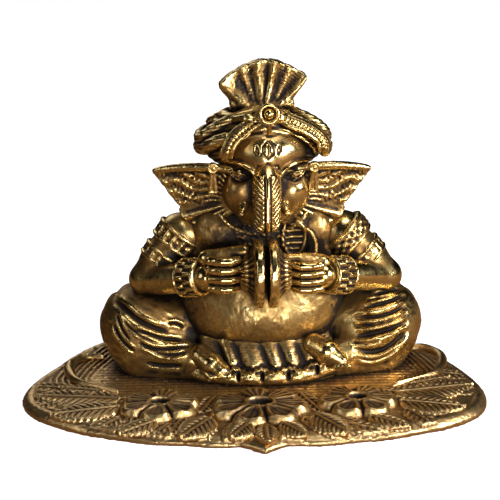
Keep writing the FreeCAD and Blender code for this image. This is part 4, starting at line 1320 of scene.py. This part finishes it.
def leaf_relief(x, y, root, tip, half_width, height, veins, lobes=0.0):
    """Height of one leaf over the plate: crowned halves, a midrib, slanting veins."""
    root, tip = np.asarray(root, float), np.asarray(tip, float)
    run = tip - root
    length = float(np.hypot(*run))
    ux, uy = run / length
    along = ((x - root[0]) * ux + (y - root[1]) * uy) / length
    across = -(x - root[0]) * uy + (y - root[1]) * ux
    s = np.clip(along, 0, 1)
    width = half_width * np.power(np.sin(math.pi * np.power(s, 0.8)) + 1e-6, 0.7)
    width = width * (1 + lobes * np.abs(np.cos(math.pi * veins * (s - 0.45 * np.abs(across) / length))))
    t = np.abs(across) / np.maximum(width, 0.05)
    inside = (along > 0) & (along < 1) & (t < 1)
    crown = np.power(np.clip(1 - t ** 3, 0, 1), 0.6)
    phase = veins * (s - 0.75 * np.abs(across) / length)
    vein = 0.24 * np.cos(TWO_PI * phase) - 0.3 * groove(phase + 0.5, 0.17)
    rib = 0.45 * hump(across, 0.6) - 0.35 * hump(np.abs(across) - 1.2, 0.45)
    valley = -0.45 * hump(across, 2.2)
    lip = 0.3 * hump(t - 0.88, 0.1)
    detail = (vein * step_up(t, 0.1, 0.3) + rib + valley + lip) * np.clip(2.2 * (1 - t), 0, 1)
    return np.where(inside, height * crown + detail, 0.0), inside


def flower_relief(x, y, centre, radii, petals, seed):
    """Height of a flower: a ringed cup, striped petals behind and petals that curl to bowls in front."""
    draw = np.random.default_rng(seed)
    px, py = (x - centre[0]) / radii[0], (y - centre[1]) / radii[1]
    away = np.sqrt(px * px + py * py)
    turn = np.arctan2(py, px)
    phase = turn / TWO_PI * petals + 0.25 + draw.uniform(-0.35, 0.35)
    petal = phase - np.floor(phase)
    which = np.floor(phase).astype(int) % petals
    lean = draw.uniform(-0.5, 0.5, petals)[which]
    edge = 0.76 + 0.24 * np.power(np.sin(math.pi * petal), 0.5)
    share = away / edge
    side, run = 2 * petal - 1, (share - 0.3) / 0.7
    in_front = step_up(-py, -0.1, 0.35)
    lobe = np.sqrt((side * 1.05) ** 2 + ((run - 0.5) / 0.56) ** 2)
    bowl_rim = hump(lobe - 0.82, 0.22)
    bowl = hump(lobe, 0.55)
    spread = step_up(away, 0.16, 0.26)
    rise = 1.5 + 2.0 * spread * (1 - 0.35 * step_up(share, 0.5, 1.0))
    gap = 1.5 * np.power(np.abs(side), 6) * step_up(away, 0.25, 0.5)
    stripes = 0.2 * np.cos(TWO_PI * petal * 5) * step_up(away, 0.2, 0.34) * (1 - 0.75 * in_front)
    curled = (0.75 * bowl_rim - 0.4 * bowl) * in_front + 0.4 * hump(share - 0.9, 0.08)
    cup_rim = 0.7 * hump(away - 0.27, 0.05)
    seeds = 0.25 * np.cos(12 * turn) * hump(away - 0.14, 0.06)
    height = rise - gap + stripes + curled + cup_rim + seeds + 0.5 * lean * step_up(share, 0.4, 0.9)
    edge_fall = np.clip((1 - share) * 8, 0, 1) ** 0.5
    return np.where(share < 1, height * edge_fall, 0.0), share < 1


def raised(name, node_names, box, step, height_of, slot, skirt=0.5):
    """A piece whose top is a height over the plate, closed below, just into the plate's face."""
    clay = Clay((box.low[0] - 1, box.low[1] - 1, GROUND_Z - 1.5),
                (box.high[0] + 1, box.high[1] + 1, box.high[2] + 0.6), step)
    count = clay.d.shape
    x = (clay.low[0] + clay.step * np.arange(count[0]))[:, None]
    y = (clay.low[1] + clay.step * np.arange(count[1]))[None, :]
    height, inside = height_of(x, y)
    height = np.where(inside, np.maximum(height, 0.25), -1.2)
    slope_x, slope_y = np.gradient(height, clay.step)
    tilt = np.sqrt(1 + np.minimum(slope_x ** 2 + slope_y ** 2, 6.0))
    z = (clay.low[2] + clay.step * np.arange(count[2]))[None, None, :]
    top = (z - GROUND_Z - height[:, :, None]) / tilt[:, :, None]
    clay.d = np.clip(smooth_max(top, GROUND_Z - skirt - z, 0.2), -FAR, FAR).astype(np.float32)
    return make_piece(name, clay, node_names, slot)


def flower(node, petals, seed):
    box = Box(node)
    radii = box.half[:2]

    def height_of(x, y):
        return flower_relief(x, y, box.centre[:2], radii, petals, seed)

    return raised(node + "_cast", [node], box, FINE, height_of, "plate_brass")


def leaves(node, runs, lobes=0.12):
    """runs holds (root, tip, half width, veins), the points given as shares of the node's box."""
    box = Box(node)

    def height_of(x, y):
        total = np.zeros(np.broadcast_shapes(x.shape, y.shape))
        inside = np.zeros(total.shape, bool)
        for i, (root, tip, half_width, veins) in enumerate(runs):
            a, b = box.at(*root, 0)[:2], box.at(*tip, 0)[:2]
            one, within = leaf_relief(x, y, a, b, half_width, 1.9 + 0.25 * (i % 3), veins, lobes)
            total = np.maximum(total, one)
            inside |= within
        return total, inside

    return raised(node + "_cast", [node], box, FINE, height_of, "plate_brass")


def scroll(node, way):
    """A smooth curled rib, thick in the middle, with a fine line along it."""
    box = Box(node)
    points = [(-0.25, 0.82), (0.4, 0.88), (0.84, 0.5), (0.74, -0.02), (0.3, -0.46), (-0.9, -0.9)]
    path = curve([box.at(way * u, v, -0.4) for u, v in points])
    clay = Clay(box.low - 1.5, box.high + (1.5, 1.5, 0.6), FINE)
    size = np.interp(np.linspace(0, 1, len(path)), (0, 0.2, 0.55, 1), (0.8, 1.9, 2.4, 0.7))
    clay.add(stroke(path, size))
    clay.add(stroke(path + np.array((0, 0, 1.2)), size * 0.45), 0.5)
    clay.relief(hammered(0.06, 4.0, 131))
    floor_level = above(GROUND_Z - 0.5)
    return make_piece(node + "_rib", clay.keep(floor_level), [node], "plate_brass")


def base_plate():
    """The plate: bevelled edge, recessed underside, and a top cut with mat lines, veins and small leaves."""
    box = Box("base_plate")
    clay = Clay(box.low - 0.5, box.high + (0.5, 0.5, 2.6), BROAD)
    count = clay.d.shape
    x = (clay.low[0] + clay.step * np.arange(count[0]))[:, None]
    y = (clay.low[1] + clay.step * np.arange(count[1]))[None, :]
    z = (clay.low[2] + clay.step * np.arange(count[2]))[None, None, :]
    turn, away = np.arctan2(y, x), np.sqrt(x * x + y * y)
    reach = np.interp(turn, PLATE_TURNS, PLATE_REACH, period=TWO_PI)
    edge = away - reach
    share = away / reach
    front = step_up(-y, 36, 46) * (1 - step_up(np.abs(x), 62, 72))
    edge = edge + (0.2 + 0.7 * np.abs(np.sin(8.5 * turn + 0.4)) ** 2) * front
    bevel = 1.5 * step_up(-edge, 0.0, 5.0) - 1.5
    row = y / 2.5
    brick = x / 10.5 + 0.5 * np.floor(row)
    lines = np.maximum(groove(row, 0.15), groove(brick, 0.03))
    mat_area = (1 - step_up(np.hypot(x / 84, (y - 12) / 50), 0.84, 0.92)) * step_up(y, -22, -16)
    border = step_up(share, 0.72, 0.8) * (1 - step_up(share, 0.9, 0.94)) * step_up(y, -26, -12)
    strokes = np.cos(TWO_PI * (away / 2.5 + 2.2 * np.abs(np.sin(3.0 * turn))))
    low_sides = step_up(-y, 10, 22) * (1 - front)
    rim = 0.9 * hump(edge + 2.8, 2.0) * (1 - front)
    rim = rim - 0.5 * groove((edge + 6.4) / 30, 0.03) * low_sides
    relief = bevel - 0.3 * lines * mat_area + 0.42 * strokes * border + rim
    draw = np.random.default_rng(5)
    spots = [(-84, -22), (-72, -38), (-60, -20), (-50, -45), (-40, -48), (-22, -47), (-20, -27), (22, -27),
             (24, -47), (41, -48), (52, -45), (60, -20), (74, -36), (86, -18), (12, -51), (-10, -51),
             (-66, -12), (68, -10), (-84, -8), (86, -4), (-32, -43), (34, -43), (-60, -42), (64, -41)]
    for px, py in spots:
        heading = math.atan2(py + 10, px * 0.7) + draw.uniform(-0.7, 0.7)
        size = draw.uniform(7.5, 10.5)
        tip = (px + size * math.cos(heading), py + size * math.sin(heading))
        root = (px - size * math.cos(heading), py - size * math.sin(heading))
        one, within = leaf_relief(x, y, root, tip, draw.uniform(4.2, 5.8), 1.0, 7, 0.1)
        one = one * step_up(1 - share, 0.02, 0.06)
        relief = np.where(within & (share < 0.975), np.maximum(relief, one), relief)
    height = box.high[2] + relief
    slope_x, slope_y = np.gradient(height, clay.step)
    tilt = np.sqrt(1 + np.minimum(slope_x ** 2 + slope_y ** 2, 6.0))
    top = (z - height[:, :, None]) / tilt[:, :, None]
    solid = smooth_max(top, edge[:, :, None] + 0 * z, 1.6)
    solid = smooth_max(solid, -z, 0.5)
    foot = (share - 0.947) * reach
    hollow = smooth_max(foot[:, :, None] + 0 * z, z - 2.0, 0.4)
    solid = np.maximum(solid, -hollow)
    for node_x in (Box("fixing_screws").low[0] + 3.6, Box("fixing_screws").high[0] - 3.6):
        node_y = Box("fixing_screws").centre[1]
        hole = np.sqrt((x - node_x) ** 2 + (y - node_y) ** 2) - 2.2
        solid = np.maximum(solid, -hole[:, :, None] + 0 * z)
    clay.d = np.clip(solid, -FAR, FAR).astype(np.float32)
    clay.relief(hammered(0.08, 2.6, 141), low=clay.low + (0, 0, 2.5))
    return make_piece("base_plate_cast", clay, ["base_plate"], "plate_brass")


# --- Materials ----------------------------------------------------------------------------------------

def node_maker(tree):
    def new(kind, inputs=None, **settings):
        node = tree.nodes.new(kind)
        for key, value in settings.items():
            setattr(node, key, value)
        for key, value in (inputs or {}).items():
            if isinstance(value, bpy.types.NodeSocket):
                tree.links.new(value, node.inputs[key])
            else:
                node.inputs[key].default_value = value
        return node
    return new


# The colour sockets of a Mix node, by number, because other sockets of it have the same names.
MIX_A, MIX_B, MIXED = 6, 7, 2


def brass(name, bright, middle, dark, patina, polish, grain):
    """Cast brass: bright on its high spots, dark patina where it is cut, and painted shade where other metal
    encloses it, with the per-piece tarnish and painted light.

    patina shifts the whole surface darker, polish lowers the roughness, grain sets the bump.
    """
    material = bpy.data.materials.new(name)
    material.use_nodes = True
    tree = material.node_tree
    tree.nodes.clear()
    new = node_maker(tree)

    def maths(operation, a, b, c=0.0, clamp=False):
        return new("ShaderNodeMath", {0: a, 1: b, 2: c}, operation=operation, use_clamp=clamp).outputs[0]

    ridge = new("ShaderNodeAttribute", attribute_name="ridge").outputs["Fac"]
    swell = new("ShaderNodeAttribute", attribute_name="swell").outputs["Fac"]
    painted_shade_and_tarnish = new("ShaderNodeAttribute", attribute_name="painted_shade_and_tarnish").outputs["Fac"]
    place = new("ShaderNodeTexCoord").outputs["Object"]
    clouds = new("ShaderNodeTexNoise", {"Vector": place, "Scale": 85.0, "Detail": 4.0, "Roughness": 0.6})
    specks = new("ShaderNodeTexNoise", {"Vector": place, "Scale": 620.0, "Detail": 3.0, "Roughness": 0.65})
    tint = new("ShaderNodeTexNoise", {"Vector": place, "Scale": 38.0, "Detail": 2.0})
    cloud = maths("SUBTRACT", clouds.outputs["Fac"], 0.5)
    speck = maths("SUBTRACT", specks.outputs["Fac"], 0.5)

    # Painted shade: darker where other metal encloses the surface, plus the per-piece tarnish and painted
    # light, on top of the material's own patina.
    shade = maths("MULTIPLY_ADD", painted_shade_and_tarnish, 0.68, patina)
    shade = maths("SUBTRACT", shade, maths("MULTIPLY", ridge, 0.36))
    shade = maths("SUBTRACT", shade, maths("MULTIPLY", swell, 0.22))
    shade = maths("ADD", shade, maths("MULTIPLY", cloud, 0.7))
    shade = maths("ADD", shade, maths("MULTIPLY", speck, 0.26), clamp=True)

    ramp = new("ShaderNodeValToRGB", {"Fac": shade})
    ramp.color_ramp.interpolation = "EASE"
    stops = [(0.0, bright), (0.38, middle), (0.72, dark), (1.0, [0.45 * v for v in dark])]
    while len(ramp.color_ramp.elements) < len(stops):
        ramp.color_ramp.elements.new(0.5)
    for element, (place_on, colour) in zip(ramp.color_ramp.elements, stops):
        element.position = place_on
        element.color = (*colour, 1)
    warm = new("ShaderNodeMix", {
        "Factor": maths("MULTIPLY", tint.outputs["Fac"], 0.55),
        MIX_A: ramp.outputs["Color"], MIX_B: (1.0, 0.72, 0.42, 1),
    }, data_type="RGBA", blend_type="MULTIPLY")
    rough = maths("MULTIPLY_ADD", shade, 0.42, polish)
    rough = maths("ADD", rough, maths("MULTIPLY", speck, 0.25), clamp=True)
    metal = maths("SUBTRACT", 1.0, maths("MULTIPLY", shade, 0.35))
    pits = new("ShaderNodeBump", {"Height": specks.outputs["Fac"], "Strength": grain, "Distance": 0.0006})
    soft = new("ShaderNodeBump", {"Height": clouds.outputs["Fac"], "Strength": 0.5 * grain,
                                  "Distance": 0.0012, "Normal": pits.outputs["Normal"]})
    surface = new("ShaderNodeBsdfPrincipled", {
        "Base Color": warm.outputs[MIXED], "Metallic": metal, "Roughness": rough,
        "Normal": soft.outputs["Normal"],
    })
    new("ShaderNodeOutputMaterial", {"Surface": surface.outputs[0]})
    return material


def brushed_zinc(name):
    """Plated steel with fine lines, for the screws and washers."""
    material = bpy.data.materials.new(name)
    material.use_nodes = True
    tree = material.node_tree
    tree.nodes.clear()
    new = node_maker(tree)
    place = new("ShaderNodeTexCoord").outputs["Object"]
    stretched = new("ShaderNodeMapping", {"Vector": place, "Scale": (300.0, 4000.0, 300.0)})
    lines = new("ShaderNodeTexNoise", {"Vector": stretched.outputs[0], "Scale": 1.0, "Detail": 2.0})
    colour = new("ShaderNodeValToRGB", {"Fac": lines.outputs["Fac"]})
    colour.color_ramp.elements[0].color = (0.42, 0.43, 0.44, 1)
    colour.color_ramp.elements[1].color = (0.68, 0.69, 0.70, 1)
    rough = new("ShaderNodeMapRange", {"Value": lines.outputs["Fac"], "To Min": 0.25, "To Max": 0.45})
    bump = new("ShaderNodeBump", {"Height": lines.outputs["Fac"], "Strength": 0.15, "Distance": 0.0002})
    surface = new("ShaderNodeBsdfPrincipled", {
        "Base Color": colour.outputs["Color"], "Metallic": 1.0, "Roughness": rough.outputs[0],
        "Normal": bump.outputs["Normal"],
    })
    new("ShaderNodeOutputMaterial", {"Surface": surface.outputs[0]})
    return material


# --- Build --------------------------------------------------------------------------------------------

torso()
leg("left_leg", -1, LEFT_FOLDS, 21)
leg("right_leg", 1, RIGHT_FOLDS, 23)
left_foot()
right_foot()
pleats()
head()
trunk()
for side in (-1, 1):
    word = "left" if side < 0 else "right"
    arm(side)
    hand(side)
    cymbal(side)
    tusk(side)
    ear(side)
    earring(side)
    upper = padded_armlet if side > 0 else armlet
    band_round(word + "_upper_armlet_cast", side, word + "_upper_armlet", SHOULDER, ELBOWS[side], (9.5, 7.2),
               (-0.08, 0.26), upper)
    band_round(word + "_lower_armlet_cast", side, word + "_lower_armlet", SHOULDER, ELBOWS[side], (9.5, 7.2),
               (0.38, 0.66), armlet)
    band_round(word + "_bracelet_cast", side, word + "_bracelet", ELBOWS[side], WRIST, (7.2, 5.5),
               (0.64, 0.96), bracelet)
turban_wrap()
turban_band()
turban_top()
turban_jewel()
crest_fan()
necklace()
base_plate()
flower("centre_flower", 7, 201)
flower("left_flower", 6, 202)
flower("right_flower", 6, 203)
scroll("left_scroll", -1)
scroll("right_scroll", 1)
leaves("left_leaves", [((0.98, 0.2), (-1.0, 0.5), 8.8, 12), ((0.98, -0.3), (-0.55, -0.72), 7.6, 10),
                       ((0.6, 0.6), (-0.5, 0.95), 4.4, 8)])
leaves("right_leaves", [((-0.98, 0.2), (1.0, 0.55), 8.6, 12), ((-0.98, -0.3), (0.55, -0.7), 7.8, 10),
                        ((-0.6, 0.6), (0.5, 0.95), 4.4, 8)])
leaves("front_leaves", [((-0.74, 0.9), (-1.0, -0.1), 5.4, 7), ((-0.36, 0.98), (-0.58, -0.55), 7.0, 8),
                        ((-0.1, 0.4), (-0.24, -0.68), 5.4, 7), ((0.01, 0.35), (0.01, -1.0), 4.6, 7),
                        ((0.12, 0.4), (0.28, -0.62), 5.4, 7), ((0.36, 0.98), (0.56, -0.52), 7.0, 8),
                        ((0.74, 0.86), (1.0, -0.02), 5.4, 7)])
shade_recesses()

SLOT_MATERIALS = {
    "antique_brass": brass("antique_brass", (0.80, 0.62, 0.27), (0.29, 0.18, 0.06), (0.036, 0.025, 0.018),
                           0.33, 0.25, 0.3),
    "burnished_brass": brass("burnished_brass", (0.84, 0.66, 0.29), (0.33, 0.2, 0.065), (0.04, 0.028, 0.018),
                             0.29, 0.2, 0.12),
    "polished_brass": brass("polished_brass", (0.86, 0.68, 0.3), (0.34, 0.205, 0.068), (0.04, 0.028, 0.02),
                            0.27, 0.18, 0.06),
    "plate_brass": brass("plate_brass", (0.66, 0.48, 0.23), (0.23, 0.143, 0.066), (0.042, 0.03, 0.024),
                         0.33, 0.33, 0.35),
    "zinc_plated_steel": brushed_zinc("zinc_plated_steel"),
}
# The photo shows the head and trunk smoother than the rest, so they get a more polished look of their
# slot, burnished brass.
POLISHED_PIECES = {"head_cast", "trunk_cast"}
for piece in made.values():
    look = "polished_brass" if piece.name in POLISHED_PIECES else piece["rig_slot"]
    piece.data.materials.append(SLOT_MATERIALS[look])
for node in ("fixing_screws", "screw_washers"):
    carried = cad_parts[node]
    carried.data.materials.clear()
    carried.data.materials.append(SLOT_MATERIALS["zinc_plated_steel"])


# --- Stage, light and camera ------------------------------------------------------------------------------

def floor():
    """A white floor. Metal sees it as darker and warmer than the camera does, like a wooden bench."""
    material = bpy.data.materials.new("floor_paint")
    material.use_nodes = True
    tree = material.node_tree
    tree.nodes.clear()
    new = node_maker(tree)
    paint = new("ShaderNodeBsdfDiffuse", {"Color": (0.9, 0.9, 0.9, 1)})
    glow = new("ShaderNodeEmission", {"Color": (1, 1, 1, 1), "Strength": 0.94})
    seen = new("ShaderNodeAddShader", {0: paint.outputs[0], 1: glow.outputs[0]})
    mirrored = new("ShaderNodeBsdfDiffuse", {"Color": (0.30, 0.17, 0.08, 1)})
    rays = new("ShaderNodeLightPath")
    mix = new("ShaderNodeMixShader", {0: rays.outputs["Is Camera Ray"], 1: mirrored.outputs[0],
                                      2: seen.outputs[0]})
    new("ShaderNodeOutputMaterial", {"Surface": mix.outputs[0]})
    size = 4.0
    mesh = bpy.data.meshes.new("floor")
    corners = [(-size, -size, 0), (size, -size, 0), (size, size, 0), (-size, size, 0)]
    mesh.from_pydata(corners, [], [(0, 1, 2, 3)])
    mesh.materials.append(material)
    plane = bpy.data.objects.new("floor", mesh)
    bpy.context.scene.collection.objects.link(plane)


def softbox(name, place, target, size, power, colour=(1, 1, 1)):
    light = bpy.data.lights.new(name, "AREA")
    light.shape = "RECTANGLE"
    light.size, light.size_y = size
    light.energy = power
    light.color = colour
    lamp = bpy.data.objects.new(name, light)
    lamp.location = place
    lamp.rotation_euler = (Vector(target) - Vector(place)).to_track_quat("-Z", "Y").to_euler()
    bpy.context.scene.collection.objects.link(lamp)


def sky():
    """White behind the floor for the camera, black for all that the metal mirrors."""
    world = bpy.data.worlds.new("sky")
    world.use_nodes = True
    world.node_tree.nodes.clear()
    new = node_maker(world.node_tree)
    rays = new("ShaderNodeLightPath")
    glow = new("ShaderNodeBackground", {"Color": (1, 1, 1, 1), "Strength": rays.outputs["Is Camera Ray"]})
    new("ShaderNodeOutputWorld", {"Surface": glow.outputs[0]})
    bpy.context.scene.world = world


def studio():
    middle = (CAD_BOX[0] + CAD_BOX[1]) / 2
    softbox("key", (0.7, -0.48, 0.36), middle, (0.3, 0.3), 8.2)
    softbox("front", (0.1, -0.85, 0.12), middle, (0.4, 0.2), 2.7)
    softbox("fill", (-0.65, -0.45, 0.4), middle, (0.3, 0.45), 0.7)
    softbox("top", (0.2, -0.1, 0.8), middle, (0.3, 0.3), 1.2)
    softbox("back", (-0.3, 0.7, 0.5), middle, (0.6, 0.4), 1.0)


def camera():
    """The photo's own view, from a little to the left of straight on."""
    azimuth, elevation, distance = math.radians(-3), CAMERA_RISE, 0.475
    target = Vector((CAD_BOX[0].x + CAD_BOX[1].x, CAD_BOX[0].y + CAD_BOX[1].y, 0)) / 2
    target += Vector((-0.0015, -0.005, 0.062))
    back = Vector((math.sin(azimuth) * math.cos(elevation), -math.cos(azimuth) * math.cos(elevation),
                   math.sin(elevation)))
    data = bpy.data.cameras.new("camera")
    data.lens, data.sensor_width = 85, 36
    data.clip_start = 0.01
    eye = bpy.data.objects.new("camera", data)
    eye.location = target + back * distance
    eye.rotation_euler = (-back).to_track_quat("-Z", "Y").to_euler()
    bpy.context.scene.collection.objects.link(eye)
    bpy.context.scene.camera = eye


floor()
sky()
studio()
camera()
bpy.context.scene.view_settings.view_transform = "Standard"
